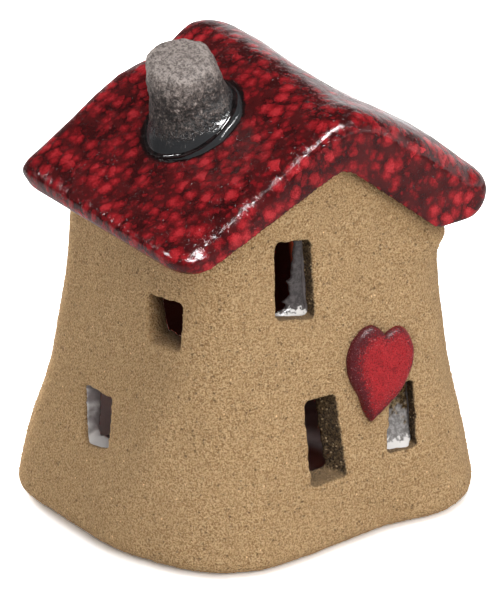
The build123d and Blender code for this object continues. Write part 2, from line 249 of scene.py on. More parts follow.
# Roof slab from front to rear: its ends, and how its verges roll in, down and up underneath
ROOF_FRONT = -46.4
ROOF_REAR = 41.6
VERGE_ROLL = 9.0
VERGE_DROP = 6.8
VERGE_LIFT = 1.6
ROLL_SHARES = ((0.0, 0.08, 0.28, 0.6, 1.0), (0.62, 0.42, 0.2, 0.06, 0.0))
ROLL_STEP_SHARES = (0.0, 0.02, 0.06, 0.12, 0.2, 0.3, 0.42, 0.56, 0.72, 0.88, 1.0)
ROOF_SECTIONS = 24
ROOF_AROUND = 240
ROOF_GRID = 0.72
ROOF_SMOOTHING = 8

# The hollow of the roof over the room, and the limits inside which its clay shows as ceiling
HOLLOW = ((-30, 80), (-30, 103.9), (3, 121.5), (35, 101), (35, 80))
HOLLOW_ENDS = (-35.7, 35.7)
CEILING = ((-30, 104.4), (3, 122.2), (35, 101.6))
CEILING_SIDES = (-30.3, 35.3)
CEILING_END = 35.9

# How far the roof slopes swell, by place across the house: near the front and at the rear
FRONT_SWELL = (
    (2.0, 0.0), (10.0, -0.5), (15.0, -0.1), (18.0, 0.5), (21.0, 1.2), (25.0, 1.8),
    (29.0, 2.1), (33.0, 2.3), (38.0, 2.0), (42.0, 1.4), (46.0, 0.8), (52.0, 0.0),
)
REAR_SWELL = (
    (-52.0, 1.4), (-45.0, 1.7), (-36.0, 1.9), (-28.0, 2.4), (-20.0, 2.0),
    (-15.0, 0.6), (-11.0, -0.9), (-7.0, -2.1), (-2.0, -1.2), (4.0, 0.0),
)

# Where these swells are highest from front to rear, and how far they reach
FRONT_SWELL_PLACE = (-29.0, 15.0)
REAR_SWELL_PLACE = (40.0, 20.0)

# The sag in the middle of the right slope: how deep, where and how far from front to rear, and
# where it starts across the house
SLOPE_SAG = 1.2
SLOPE_SAG_PLACE = (4.0, 20.0)
SLOPE_SAG_START = 4.0
SLOPE_SAG_WIDTH = 44.0

# Chimney: middle of its foot and of its top, how the top tips, and its radius by share of height
CHIMNEY_SEAT = np.array((-21.6, -1.6, 121.9))
CHIMNEY_TOP = np.array((-25.8, -1.6, 141.2))
CHIMNEY_SLOPE = 0.668
CHIMNEY_TILT = 18.0
CHIMNEY_LEAN = 15.0
CHIMNEY_AROUND = 144
CHIMNEY_STEP_SHARES = np.r_[np.linspace(-0.2, 0.9, 46), 0.94, 0.97, 0.99, 1.0]
CHIMNEY_HEIGHT_SHARES = (-0.2, 0.0, 0.12, 0.34, 0.68, 0.84, 0.95, 1.0)
CHIMNEY_RADII = (17.0, 15.3, 13.3, 11.4, 10.4, 9.9, 9.2, 7.8)
CHIMNEY_DOME = 1.2
CHIMNEY_DOME_SHARES = (0.86, 0.66, 0.4, 0.18)
DOME_UP_SHARE = 1.05

# Glaze pooled round the chimney's foot: where it starts on the roof, at what heights it is
# measured, the least that it rises and spreads and what is added at most, how far it bulges
# out and up, and how far it goes on into the roof and into the chimney
POOL_START = 16.6
POOL_FOOT = 0.6
POOL_HEAD = 0.4
POOL_RISE = (1.1, 0.7)
POOL_SPREAD = (0.25, 0.5)
POOL_BULGE = (0.75, 0.9)
POOL_SUNK = 0.8
POOL_INSET = (1.6, 0.9)
POOL_RADIUS = 16.0
POOL_WAVES = ((6.0, 31), (5.0, 32))
POOL_AROUND = 160
RAY_START = 40.0
RAY_ABOVE = 12.0

# Heart: its tip on the front wall, lean in degrees, sizes, and its right half from the tip up
HEART_TIP = np.array((9.3, 36.9))
HEART_LEAN = 14.6
HEART_HALF_WIDTH = 11.7
HEART_HEIGHT = 28.4
HEART_THICKNESS = 4.2
HEART_SUNK = 1.6
HEART_MIDDLE_X = 0.3
HEART_MIDDLE_SHARE = 0.6
HEART_SHARES = np.array((
    (0.0, 0.0), (0.17, 0.065), (0.4, 0.15), (0.69, 0.3), (0.9, 0.46), (1.0, 0.64),
    (0.94, 0.81), (0.73, 0.94), (0.44, 1.0), (0.16, 0.965), (0.0, 0.915),
))
# Rings of the pillow: share of the outline and share of the thickness round the edge, then
# the shares of the outline over the face
HEART_EDGE_SHARES = ((0.975, 0.0), (0.99, 0.1), (1.0, 0.24), (0.995, 0.4), (0.98, 0.53), (0.955, 0.64))
HEART_FACE_SHARES = (0.92, 0.88, 0.83, 0.77, 0.7, 0.62, 0.53, 0.43, 0.32, 0.2, 0.1)

# Half the height over which the lean of the front wall is measured
FACE_STEP = 0.5

# Where the glaze of the room and of the floor slab changes, in metres from side to side, from
# front to rear and up. From front to rear, painted light on the upper right wall gives way to painted shade
# on the rear wall
FAR_LEFT_BAND = (-0.012, -0.02)
REAR_SHADE_BAND = (0.0335, 0.0345)
UPPER_ROOM_BAND = (0.033, 0.042)
FLOOR_TOP_BAND = (0.0052, 0.0058)

# Colours that few would change
POOL_DARK = (0.004, 0.003, 0.003)
POOL_LIGHT = (0.02, 0.012, 0.012)
ROUND_POOL = (0.012, 0.004, 0.004)
WET_CHIMNEY = (0.034, 0.035, 0.037)
# pale specks on the heart, painted as sparkle highlights
HEART_SPARKLE_HIGHLIGHT = (0.55, 0.2, 0.2)
RUN_STAINED = ((0.2, 0.185, 0.175), (0.36, 0.34, 0.33))
RUN_BROWN = (0.24, 0.16, 0.075)
CUP_METAL = (0.78, 0.78, 0.79)
SUSTAINER_METAL = (0.6, 0.6, 0.6)
WICK_TWIST = ((0.72, 0.68, 0.58), (0.88, 0.86, 0.78))
WHITE = (1.0, 1.0, 1.0, 1.0)

# Stage, in metres: the camera, and lamps with their place, aim and size. The first three light
# the house and aren't seen in the glaze. The glints are seen in the glaze only, with their power.
CAMERA_PLACE = (-0.524205, -0.791971, 0.465349)
CAMERA_AIM = (0.0023214, 0.0041483, 0.0586923)
CAMERA_CLIP = (0.05, 50.0)
SENSOR_WIDTH = 36.0
KEY_LAMP = ("key_lamp", (-0.1, -1.3, 0.8), (0, 0, 0.07), (1.3, 0.9))
TOP_LAMP = ("top_lamp", (0.1, -0.3, 1.3), (0, 0, 0.07), (0.5, 0.5))
BACK_LAMP = ("back_lamp", (0.1, 0.8, 0.22), (0, 0, 0.05), (0.5, 0.3))
GLINTS = (
    ("verge_glint", (-0.27, -0.755, 1.055), (-0.02, -0.046, 0.12), (0.12, 0.04), 0.7),
    ("eave_glint", (-0.78, 0.57, 0.75), (-0.05, -0.03, 0.1), (0.2, 0.2), 6.0),
    ("pool_glint", (0.1, -0.52, 1.05), (-0.02, 0, 0.12), (0.4, 0.3), 24.0),
)
ROOM_FILL_PLACE = (-0.008, 0.008, 0.07)
ROOM_FILL_RADIUS = 0.008
STAGE_RADIUS = 3000.0
STAGE_DROP = 0.05
STAGE_CORNERS = 64


# Shapes
def unit(way):
    return way / np.linalg.norm(way)


def hump(at, middle, reach):
    """1 at the middle, falling smoothly to almost nothing two reaches away."""
    return np.exp(-(((at - middle) / reach) ** 2))


def read_off(table, at):
    """Value of a table of places and values, straight between its rows."""
    places, values = np.array(table, float).T
    return np.interp(at, places, values)


def straight(start, end, count):
    return [start * (1 - t) + end * t for t in np.linspace(0, 1, count)]


def bowed(start, middle, end, t):
    """Point of a curve from start to end that is drawn towards the middle."""
    return start * (1 - t) ** 2 + middle * 2 * t * (1 - t) + end * t**2


def cubic(t, reach, start, start_way, end, end_way):
    """Point of a curve that leaves the start and meets the end along the given ways."""
    return (
        (2 * t**3 - 3 * t**2 + 1) * start
        + (t**3 - 2 * t**2 + t) * reach * start_way
        + (3 * t**2 - 2 * t**3) * end
        + (t**3 - t**2) * reach * end_way
    )


def round_corner(before, corner, after, reach, count):
    """Points of a rounded corner, which starts and ends at the reach from the sharp one."""
    start = corner + unit(before - corner) * reach
    end = corner + unit(after - corner) * reach
    return [bowed(start, corner, end, t) for t in np.linspace(0, 1, count)]


def smooth_curve(levels, values, at):
    """Cubic through the values, which holds the first and last value beyond the levels."""
    levels, values, at = (np.asarray(numbers, float) for numbers in (levels, values, at))
    slopes = np.gradient(values, levels)
    i = np.clip(np.searchsorted(levels, at) - 1, 0, len(levels) - 2)
    width = levels[i + 1] - levels[i]
    t = np.clip((at - levels[i]) / width, 0, 1)
    return cubic(t, width, values[i], slopes[i], values[i + 1], slopes[i + 1])


def bend(points, start_way, end_way, count):
    """A curve through three points, leaving and arriving along the given ways."""
    ways = [unit(start_way), unit(points[2] - points[0]), unit(end_way)]
    curve = []
    for k in (0, 1):
        start, end = points[k], points[k + 1]
        reach = np.linalg.norm(end - start) * EAVE_FULLNESS
        steps = np.linspace(0, 1, count)[k:]
        curve += [cubic(t, reach, start, ways[k], end, ways[k + 1]) for t in steps]
    return curve


def lattice_noise(points, cell, seed):
    """Smooth noise from -1 to 1, with bumps about one cell apart."""
    table = np.random.default_rng(seed).uniform(-1, 1, (32, 32, 32))
    places = np.asarray(points, float) / cell
    corner = np.floor(places).astype(int)
    part = places - corner
    part = part * part * (3 - 2 * part)
    total = np.zeros(len(places))
    for dx in (0, 1):
        for dy in (0, 1):
            for dz in (0, 1):
                weight = np.ones(len(places))
                for axis, step in enumerate((dx, dy, dz)):
                    weight *= part[:, axis] if step else 1 - part[:, axis]
                i, j, k = (corner + (dx, dy, dz)).T % 32
                total += weight * table[i, j, k]
    return total


def lumps(points, layers):
    """Height of lumps that are laid over each other in layers."""
    return sum(height * lattice_noise(points, width, seed) for height, width, seed in layers)


def jostled(rings, amount, width, seed):
    """The points moved smoothly at random, along each axis in turn."""
    flat = np.array(rings).reshape(-1, 3)
    for axis in range(3):
        flat[:, axis] += amount * lattice_noise(flat, width, seed + axis)
    return flat.reshape(np.shape(rings))


def new_piece(name, verts, faces):
    """A smooth-shaded mesh object from points in millimetres."""
    mesh = bpy.data.meshes.new(name)
    mesh.from_pydata((np.asarray(verts) * MM).tolist(), [], [list(f) for f in faces])
    mesh.update()
    mesh.polygons.foreach_set("use_smooth", [True] * len(mesh.polygons))
    obj = bpy.data.objects.new(name, mesh)
    bpy.context.scene.collection.objects.link(obj)
    return obj


def outward(obj):
    """Turns the faces of a closed mesh outwards."""
    work = bmesh.new()
    work.from_mesh(obj.data)
    bmesh.ops.recalc_face_normals(work, faces=work.faces)
    work.to_mesh(obj.data)
    work.free()
    return obj


def band_faces(first, second, around):
    """Faces between two rings of points, given by the number of each ring's first point."""
    return [
        (first + j, first + (j + 1) % around, second + (j + 1) % around, second + j) for j in range(around)
    ]


def lofted(name, rings):
    """A closed body through rings of points, with both ends filled by a fan."""
    rings = np.asarray(rings, float)
    count, around = rings.shape[:2]
    verts = np.vstack([rings.reshape(-1, 3), rings[0].mean(0), rings[-1].mean(0)])
    faces = []
    for k in range(count - 1):
        faces += band_faces(k * around, (k + 1) * around, around)
    first, last = count * around, count * around + 1
    for j in range(around):
        n = (j + 1) % around
        faces.append((first, n, j))
        faces.append((last, (count - 1) * around + j, (count - 1) * around + n))
    return outward(new_piece(name, verts, faces))


def freeze(obj):
    """Turns the object's modifiers into its plain mesh."""
    graph = bpy.context.evaluated_depsgraph_get()
    mesh = bpy.data.meshes.new_from_object(obj.evaluated_get(graph))
    obj.modifiers.clear()
    old = obj.data
    obj.data = mesh
    bpy.data.meshes.remove(old)
    mesh.polygons.foreach_set("use_smooth", [True] * len(mesh.polygons))


def cut_away(obj, cutters):
    """Cuts the cutters out of the object, and removes them."""
    for cutter in cutters:
        step = obj.modifiers.new("cut", "BOOLEAN")
        step.operation = "DIFFERENCE"
        step.solver = "EXACT"
        step.object = cutter
    freeze(obj)
    for cutter in cutters:
        mesh = cutter.data
        bpy.data.objects.remove(cutter)
        bpy.data.meshes.remove(mesh)


def remeshed(obj, size, smoothing):
    """Gives the object an even mesh with faces of one size, and smooths it."""
    step = obj.modifiers.new("grid", "REMESH")
    step.mode = "VOXEL"
    step.voxel_size = size * MM
    soft = obj.modifiers.new("soft", "SMOOTH")
    soft.factor = 0.5
    soft.iterations = smoothing
    freeze(obj)


def read_vertices(obj, what):
    values = np.zeros(len(obj.data.vertices) * 3, np.float32)
    obj.data.vertices.foreach_get(what, values)
    return values.reshape(-1, 3).astype(float)


def points_of(obj):
    return read_vertices(obj, "co") / MM


def normals_of(obj):
    return read_vertices(obj, "normal")


def move_points(obj, points):
    obj.data.vertices.foreach_set("co", (points * MM).astype(np.float32).ravel())
    obj.data.update()


def store(obj, **attributes):
    """Keeps one number for each point under each name, for the materials."""
    for name, values in attributes.items():
        kept = obj.data.attributes.get(name) or obj.data.attributes.new(name, "FLOAT", "POINT")
        kept.data.foreach_set("value", np.asarray(values, np.float32))


def put_finish(obj, material):
    obj.data.materials.clear()
    obj.data.materials.append(material)


# Walls
def flare_at(z):
    """Share of the walls' flare at each height."""
    return smooth_curve(FLARE_LEVELS, FLARE_SHARES, z)


def foot_inset(z):
    """How far the worn lower edge draws the walls in."""
    return FOOT_INSET * np.clip(1 - z / FOOT_HEIGHT, 0, 1) ** FOOT_POWER


def half_sizes(z, inset=0.0):
    """Half width and half depth of the walls at each height, drawn in by the inset."""
    flare, inset = flare_at(z), inset + foot_inset(z)
    half_width = (TOP_WIDTH + (BASE_WIDTH - TOP_WIDTH) * flare) / 2 - inset
    half_depth = (TOP_DEPTH + (BASE_DEPTH - TOP_DEPTH) * flare) / 2 - inset
    return half_width, half_depth


def corner_radii(z, inset=0.0):
    """Radii of the rear, front left and front right corners at each height."""
    flare, inset = flare_at(z), inset + foot_inset(z)
    return [
        np.maximum(top + (base - top) * flare - inset, LEAST_RADIUS)
        for base, top in (REAR_CORNER, FRONT_LEFT_CORNER, FRONT_RIGHT_CORNER)
    ]


def crown_at(z):
    return CROWN[1] + (CROWN[0] - CROWN[1]) * flare_at(z)


def wall_ring(z, inset):
    """Outline of the walls at one height."""
    half_width, half_depth = half_sizes(z, inset)
    crown = crown_at(z)
    a, b = half_width - crown, half_depth - crown
    rear, front_left, front_right = corner_radii(z, inset)
    turns = []
    for sx, sy, start, radius in (
        (1, 1, 0.0, rear),
        (-1, 1, 90.0, rear),
        (-1, -1, 180.0, front_left),
        (1, -1, 270.0, front_right),
    ):
        angles = np.radians(start + np.linspace(0, 90, CORNER_POINTS))
        x = sx * (a - radius) + radius * np.cos(angles)
        turns.append(np.stack([x, sy * (b - radius) + radius * np.sin(angles)], axis=1))
    ring = []
    for k, turn in enumerate(turns):
        ring += [turn, straight(turn[-1], turns[(k + 1) % 4][0], SIDE_POINTS + 2)[1:-1]]
    ring = np.vstack(ring)
    side = np.clip(1 - (ring / (a, b)) ** 2, 0, 1)
    x, y = ring.T
    facing_y = np.clip((np.abs(y) / b - FLAT_SHARE) / (1 - FLAT_SHARE), 0, 1) * side[:, 0]
    facing_x = np.clip((np.abs(x) / a - FLAT_SHARE) / (1 - FLAT_SHARE), 0, 1) * side[:, 1]
    x = x + np.sign(x) * crown * facing_x
    y = y + np.sign(y) * crown * facing_y
    return np.stack([x, y, np.full(len(x), z)], axis=1)


def depth_in_wall(points):
    """How deep in the wall a point lies: 0 on the outer face, 1 on the inner face and inside."""
    x, y, z = points.T
    half_width, half_depth = half_sizes(z)
    rear, front_left, front_right = corner_radii(z)
    crown = crown_at(z)
    radius = np.where(y > 0, rear, np.where(x < 0, front_left, front_right))
    a, b = half_width - crown, half_depth - crown
    qx, qy = np.abs(x) - (a - radius), np.abs(y) - (b - radius)
    outside = np.hypot(np.maximum(qx, 0), np.maximum(qy, 0)) + np.minimum(np.maximum(qx, qy), 0) - radius
    bow = crown * np.where(qx > qy, 1 - (y / b) ** 2, 1 - (x / a) ** 2)
    return np.clip((np.clip(bow, 0, None) - outside) / WALL, -0.5, 1.5)


def front_face(x, z):
    """Place of the outer face of the front wall, from front to rear."""
    half_width, half_depth = half_sizes(z)
    crown = crown_at(z)
    return -(half_depth - crown * (x / (half_width - crown)) ** 2)


def out_of_true(points, depth):
    """Moves the outer faces of the walls in or out, mostly near the table."""
    x, y, z = points.T
    angle = np.degrees(np.arctan2(y, x))
    shift = smooth_curve(*FOOT_FADE, z) * read_off(FOOT_SHIFT, angle)
    shift += smooth_curve(*SIDE_FADE, z) * read_off(SIDE_SHIFT, angle)
    to_the_right = np.clip((x - SQUEEZED_FROM) / SQUEEZED_FROM, 0, 1)
    shift += SQUEEZED * hump(z, SQUEEZED_LEVEL, SQUEEZED_REACH) * to_the_right
    shift *= np.clip(1 - depth, 0, 1)
    reach = np.hypot(x, y)
    return points + np.stack([x / reach, y / reach, 0 * z], axis=1) * shift[:, None]


def across_house(outline, y):
    """An outline of places across and up, set at one place from front to rear."""
    return np.stack([outline[:, 0], np.full(len(outline), y), outline[:, 1]], axis=1)


def prism_across(name, outline, ends):
    """A closed body with one outline across the house, between its front and rear ends."""
    return lofted(name, [across_house(np.asarray(outline, float), y) for y in ends])


def window_cutter(name):
    """A tapered plug with worn corners and slightly uneven sides, to cut a window with."""
    window = WINDOWS[name]
    outer, inner = np.asarray(window["outer"]), np.asarray(window["inner"])
    half_width, half_depth = half_sizes(outer[:, 1].mean())
    rings = []
    for share in PLUG_DEPTH_SHARES:
        corners = outer + (inner - outer) * share
        ring = []
        for k in range(4):
            before, here, after = corners[k - 1], corners[k], corners[(k + 1) % 4]
            turn = round_corner(before, here, after, WINDOW_CORNER, 5)
            next_turn = after + unit(here - after) * WINDOW_CORNER
            ring += turn + straight(turn[-1], next_turn, 14)[1:-1]
        along, up = np.array(ring).T
        if window["face"] == "front":
            ring = [along, np.full(len(ring), -half_depth + WALL * share), up]
        else:
            ring = [np.full(len(ring), -half_width + WALL * share), -along, up]
        rings.append(np.stack(ring, axis=1))
    return lofted("cut_" + name, jostled(rings, *WINDOW_WEAR))


def doorway_cutter():
    """The arched block that the doorway is cut with."""
    corner = DOORWAY["corner"]
    left, right = DOORWAY["x"] - DOORWAY["width"] / 2, DOORWAY["x"] + DOORWAY["width"] / 2
    head = FLOOR + DOORWAY["height"]
    outline = [(left, FLOOR), (right, FLOOR)]
    for middle, start in ((right - corner, 0), (left + corner, 90)):
        for t in np.radians(np.linspace(start, start + 90, 10)):
            outline.append((middle + corner * math.cos(t), head - corner + corner * math.sin(t)))
    return prism_across("cut_doorway", outline, (DOORWAY["start"], BASE_DEPTH))


def cut_walls():
    """The walls as one solid, with the room, the slant under the roof and the openings cut."""
    walls = lofted("walls", [wall_ring(z, 0.0) for z in WALL_LEVELS])
    room_levels = np.r_[ROOM_FOOT, WALL_LEVELS[1:], ROOM_HEAD]
    room = lofted("cut_room", [wall_ring(z, WALL) for z in room_levels])
    far = CLEAR_OF_HOUSE
    slant = ((-far, UNDER_LEFT[1]), UNDER_LEFT, UNDER_APEX, UNDER_RIGHT, UNDER_TIP, (far, UNDER_TIP[1]))
    over = slant + ((far, ABOVE_HOUSE), (-far, ABOVE_HOUSE))
    above = prism_across("cut_above", over, (-far, far))
    cut_away(walls, [room, above, doorway_cutter()] + [window_cutter(name) for name in WINDOWS])
    return walls


def thin_inside(walls, depth):
    """Fewer faces on the inside of the walls, where they hardly show."""
    group = walls.vertex_groups.new(name="inside")
    group.add(np.nonzero(depth > INSIDE_SHARE)[0].tolist(), 1.0, "REPLACE")
    step = walls.modifiers.new("thin", "DECIMATE")
    step.decimate_type = "COLLAPSE"
    step.vertex_group = "inside"
    step.vertex_group_factor = 1.0
    step.ratio = KEPT_INSIDE_SHARE
    freeze(walls)
    walls.vertex_groups.clear()


def below_roof(points):
    """Distance down from the underside of the roof slab."""
    under = (UNDER_LEFT, UNDER_APEX, UNDER_RIGHT, UNDER_TIP)
    return read_off(under, points[:, 0]) - points[:, 2]


def glaze_cover(points, depth):
    """How surely each point of the walls is glazed: the whole inside, and part of each reveal.
    Also the depth again, without the outer faces away from the openings."""
    x, y, z = points.T
    cover = np.clip((depth - 0.9) / 0.1, 0, 1) * 1.4
    beside_doorway = np.abs(x - DOORWAY["x"]) < ROUND_DOORWAY["half"]
    opened = (y > REAR_PART_Y) & (z < ROUND_DOORWAY["head"]) & beside_doorway
    for window in WINDOWS.values():
        sides, levels = np.transpose(window["outer"])
        along = x if window["face"] == "front" else -y
        near = (
            (along > sides.min() - ROUND_WINDOW["before"])
            & (along < sides.max() + ROUND_WINDOW["after"])
            & (z > levels.min() - ROUND_WINDOW["level"])
            & (z < levels.max() + ROUND_WINDOW["level"])
            & (depth > 0.04)
            & (y < REAR_PART_Y)
        )
        bare = np.interp(z, (levels.min(), levels.max()), window["bare_shares"])
        cover = np.where(near, np.clip((depth - bare) / 0.12 + 0.5, 0, 1.4), cover)
        opened |= near
    return cover, np.where(opened | (depth > OUTSIDE_SHARE), np.clip(depth, 0, 1), 0.0)


def torn_share(points):
    """How coarsely the reveals were cut: the two windows of the left wall are smoother, and their reveals get
    painted shade instead of torn clay.
    """
    left = (points[:, 0] < LEFT_WALL_X) & (points[:, 1] < REAR_PART_Y)
    return np.where(left, np.where(points[:, 2] > UPPER_WINDOW_FOOT, 0.12, 0.35), 1.0)


def scooped(points, depth):
    """How far the left wall is worn in beside its windows."""
    x, y, z = points.T
    worn = sum(
        deep * hump(-y, place, wide) * hump(z, level, tall) for place, level, wide, tall, deep in SCOOPS
    )
    return np.where(x < LEFT_WALL_X, worn * np.clip(1 - depth / 0.7, 0, 1), 0.0)


def beside_heart(points, depth):
    """How much of the clay beside the heart was crumbled when the heart was pressed on."""
    places = heart_on_wall(heart_outline())
    x, y = points[:, 0], points[:, 1]
    within = (y < ROUND_HEART["front"]) & (x > ROUND_HEART["left"]) & (x < ROUND_HEART["right"])
    near = np.nonzero(within & (depth < 0.3))[0]
    spots = points[near][:, [0, 2]]
    gap = np.full(len(points), FAR_AWAY)
    gap[near] = np.sqrt(((spots[:, None] - places[None]) ** 2).sum(2).min(1))
    crumb = hump(gap, 0.0, CRUMB_REACH) * (0.55 + 0.45 * lattice_noise(points, CRUMB_PATCH, 71))
    return np.clip(crumb, 0, 1)


def hand_built(points, normals, depth, crumb):
    """The walls as a hand leaves them: lumpy, gritty, worn beside the windows and out of true."""
    outer = 1 - np.clip(depth / OUTSIDE_SHARE, 0, 1)
    foot = np.clip(points[:, 2] / FIRM_FOOT, 0, 1)
    raised = lumps(points, WALL_LUMPS) * outer + lumps(points, WALL_GRIT) + GRIT_LIFT
    moved = points + normals * (raised * foot)[:, None]
    moved[:, 0] += scooped(points, depth)
    moved[:, 1] -= crumb * (CRUMB_RISE + lumps(points, CRUMB_LUMPS))
    moved = out_of_true(moved, depth)
    moved[:, 2] = np.maximum(moved[:, 2], 0.0)
    return moved


def run_of_glaze(name, rows, stain):
    """Glaze that ran down beside a front window, clean at stain 0 and stained brown at 1."""
    rows = np.array(rows)
    levels = rows[:, 0]
    rings = []
    for z in np.linspace(levels[0], levels[-1], RUN_RINGS):
        fixed, free, front, back = [np.interp(z, levels, column) for column in rows.T[1:]]
        free += lumps([(z, free, 0.0)], RUN_RAGGED)[0]
        face = front_face(0.0, z)
        ring = []
        for t in np.linspace(0, 2 * math.pi, RUN_AROUND, endpoint=False):
            across = 0.5 + 0.5 * math.copysign(abs(math.cos(t)) ** 0.6, math.cos(t))
            through = 0.5 - 0.5 * math.copysign(abs(math.sin(t)) ** 0.6, math.sin(t))
            slant = (1 - across) * 0.5
            deep = front + (back - front) * (through * 0.6 + slant * 0.6)
            ring.append((free + (fixed - free) * across, face + deep, z))
        rings.append(ring)
    piece = lofted(name, jostled(rings, *RUN_WEAR))
    low = (levels[-1] - points_of(piece)[:, 2]) / np.ptp(levels)
    store(piece, low=np.clip(low, 0, 1), stain=np.full(len(low), stain))
    return piece


# Roof, chimney and heart
def roof_outline(share, rolled):
    """Outline of the roof slab across the house: share 0 at the front, 1 at the rear."""
    inward, drop, lift = VERGE_ROLL * rolled, VERGE_DROP * rolled, VERGE_LIFT * rolled - ROOF_LIP
    (sag, sag_at, sag_reach), (rise, rise_at, rise_reach) = PEAK_SAG, PEAK_RISE
    uneven = rise * hump(share, rise_at, rise_reach) - sag * hump(share, sag_at, sag_reach)
    peak = ROOF_PEAK[0] + ROOF_PEAK[1] * share + (0.0, uneven - drop)
    left = LEFT_EAVE[0] + LEFT_EAVE[1] * share + (inward, -drop)
    right = RIGHT_EAVE[0] + RIGHT_EAVE[1] * share + (-inward, -drop)
    left_tip = np.array(LEFT_TIP) + (inward, 0.0)
    right_tip = np.array(RIGHT_TIP) + (-inward, 0.0)
    under_tip = np.array(UNDER_TIP) + TIP_REACH + (-inward, lift)
    under_right = np.array(UNDER_RIGHT) + (-inward, lift)
    under_apex = np.array(UNDER_APEX) + (0.0, lift)
    under_left = np.array(UNDER_LEFT) + (inward, lift)
    crest = round_corner(left, peak, right, RIDGE_REACH, 24)
    outline = np.array(
        straight(left, crest[0], 12)[:-1]
        + crest
        + straight(crest[-1], right, 12)[1:-1]
        + bend((right, right_tip, under_tip), right - peak, under_right - under_tip, 12)
        + [under_right]
        + round_corner(under_right, under_apex, under_left, APEX_REACH, 9)
        + bend((under_left, left_tip, left), under_left - under_apex, peak - left, 12)[:-1]
    )
    closed = np.vstack([outline, outline[:1]])
    steps = np.r_[0, np.cumsum(np.linalg.norm(np.diff(closed, axis=0), axis=1))]
    places = np.linspace(0, steps[-1], ROOF_AROUND, endpoint=False)
    return np.stack([np.interp(places, steps, closed[:, k]) for k in (0, 1)], axis=1)


def roof_form():
    """The draped slab, rolled down at both verges, before it swells and sags."""
    verge = list(zip(VERGE_ROLL * np.array(ROLL_STEP_SHARES), smooth_curve(*ROLL_SHARES, ROLL_STEP_SHARES)))
    sections = [(ROOF_FRONT + step, rolled) for step, rolled in verge]
    flat = np.linspace(ROOF_FRONT + VERGE_ROLL, ROOF_REAR - VERGE_ROLL, ROOF_SECTIONS)[1:-1]
    sections += [(y, 0.0) for y in flat]
    sections += [(ROOF_REAR - step, rolled) for step, rolled in verge[::-1]]
    length = ROOF_REAR - ROOF_FRONT
    rings = [across_house(roof_outline((y - ROOF_FRONT) / length, rolled), y) for y, rolled in sections]
    return lofted("roof_slab", rings)


def slope_crown(points):
    """How far the slopes swell or sag: the right one towards the front, the left one at the rear."""
    x, y = points[:, 0], points[:, 1]
    swell = hump(y, *FRONT_SWELL_PLACE) * read_off(FRONT_SWELL, x)
    down_the_slope = np.clip((x - SLOPE_SAG_START) / SLOPE_SAG_WIDTH, 0, 1)
    hollow = -SLOPE_SAG * hump(y, *SLOPE_SAG_PLACE) * np.sin(np.pi * 0.85 * down_the_slope)
    return swell + hollow + hump(y, *REAR_SWELL_PLACE) * read_off(REAR_SWELL, x)


def slope_normal():
    """The way that the left roof slope faces, where the chimney stands."""
    return np.array([-CHIMNEY_SLOPE, 0, 1]) / math.hypot(CHIMNEY_SLOPE, 1)


def from_chimney(points):
    """Distance along the slope from the edge of the pooled glaze round the chimney's foot."""
    gap, normal = points - CHIMNEY_SEAT, slope_normal()
    return np.linalg.norm(gap - np.outer(gap @ normal, normal), axis=1) - POOL_START


def is_ceiling(points, normals):
    """Whether a point of the roof lies in its hollow over the room."""
    x, y, z = points.T
    within = (np.abs(y) < CEILING_END) & (x > CEILING_SIDES[0]) & (x < CEILING_SIDES[1])
    return within & (normals[:, 2] < 0.3) & (z < read_off(CEILING, x))


def turned_ways(side, ahead, count):
    """Directions all round, from the side towards ahead."""
    angles = np.linspace(0, 2 * math.pi, count, endpoint=False)
    return np.outer(np.cos(angles), side) + np.outer(np.sin(angles), ahead)


def chimney_form():
    """The leaning stub, from under the roof to its domed top, with how far up each point is."""
    seat, top = CHIMNEY_SEAT, CHIMNEY_TOP
    tilt, lean = math.radians(CHIMNEY_TILT), math.sin(math.radians(CHIMNEY_LEAN))
    foot_normal, top_normal = slope_normal(), unit(np.array([-lean, -math.sin(tilt), math.cos(tilt)]))
    radii = smooth_curve(CHIMNEY_HEIGHT_SHARES, CHIMNEY_RADII, CHIMNEY_STEP_SHARES)
    rings = []
    for share, radius in zip(CHIMNEY_STEP_SHARES, radii):
        blend = np.clip(share, 0, 1) ** 0.7
        normal = unit(foot_normal * (1 - blend) + top_normal * blend)
        side = unit(np.cross([0, 1, 0], normal))
        out = turned_ways(side, np.cross(normal, side), CHIMNEY_AROUND)
        rings.append(seat + (top - seat) * share + out * radius)
    rim = rings[-1]
    for share in CHIMNEY_DOME_SHARES:
        domed = top + top_normal * CHIMNEY_DOME * (1 - share)
        rings.append(rim * share + domed * (1 - share))
    flat = np.array(rings).reshape(-1, 3)
    out = flat - (seat + top) / 2
    out /= np.linalg.norm(out, axis=1)[:, None]
    flat = flat + out * (lumps(flat, CHIMNEY_LUMPS) - LUMPS_SUNK)[:, None]
    chimney = lofted("chimney_stub", flat.reshape(np.shape(rings)))
    up = np.r_[CHIMNEY_STEP_SHARES, [DOME_UP_SHARE] * len(CHIMNEY_DOME_SHARES)]
    store(chimney, up=np.r_[np.repeat(up, CHIMNEY_AROUND), up[0], up[-1]])
    return chimney


def surface_of(obj):
    corners = [tuple(v.co) for v in obj.data.vertices]
    return BVHTree.FromPolygons(corners, [tuple(p.vertices) for p in obj.data.polygons])


def first_hits(surface, starts, ways):
    """Where rays from the starts first meet a surface."""
    spots = [surface.ray_cast(Vector(s * MM), Vector(w))[0] for s, w in zip(starts, ways)]
    if None in spots:
        raise RuntimeError("the glaze round the chimney found nothing to lie on")
    return np.array(spots) / MM


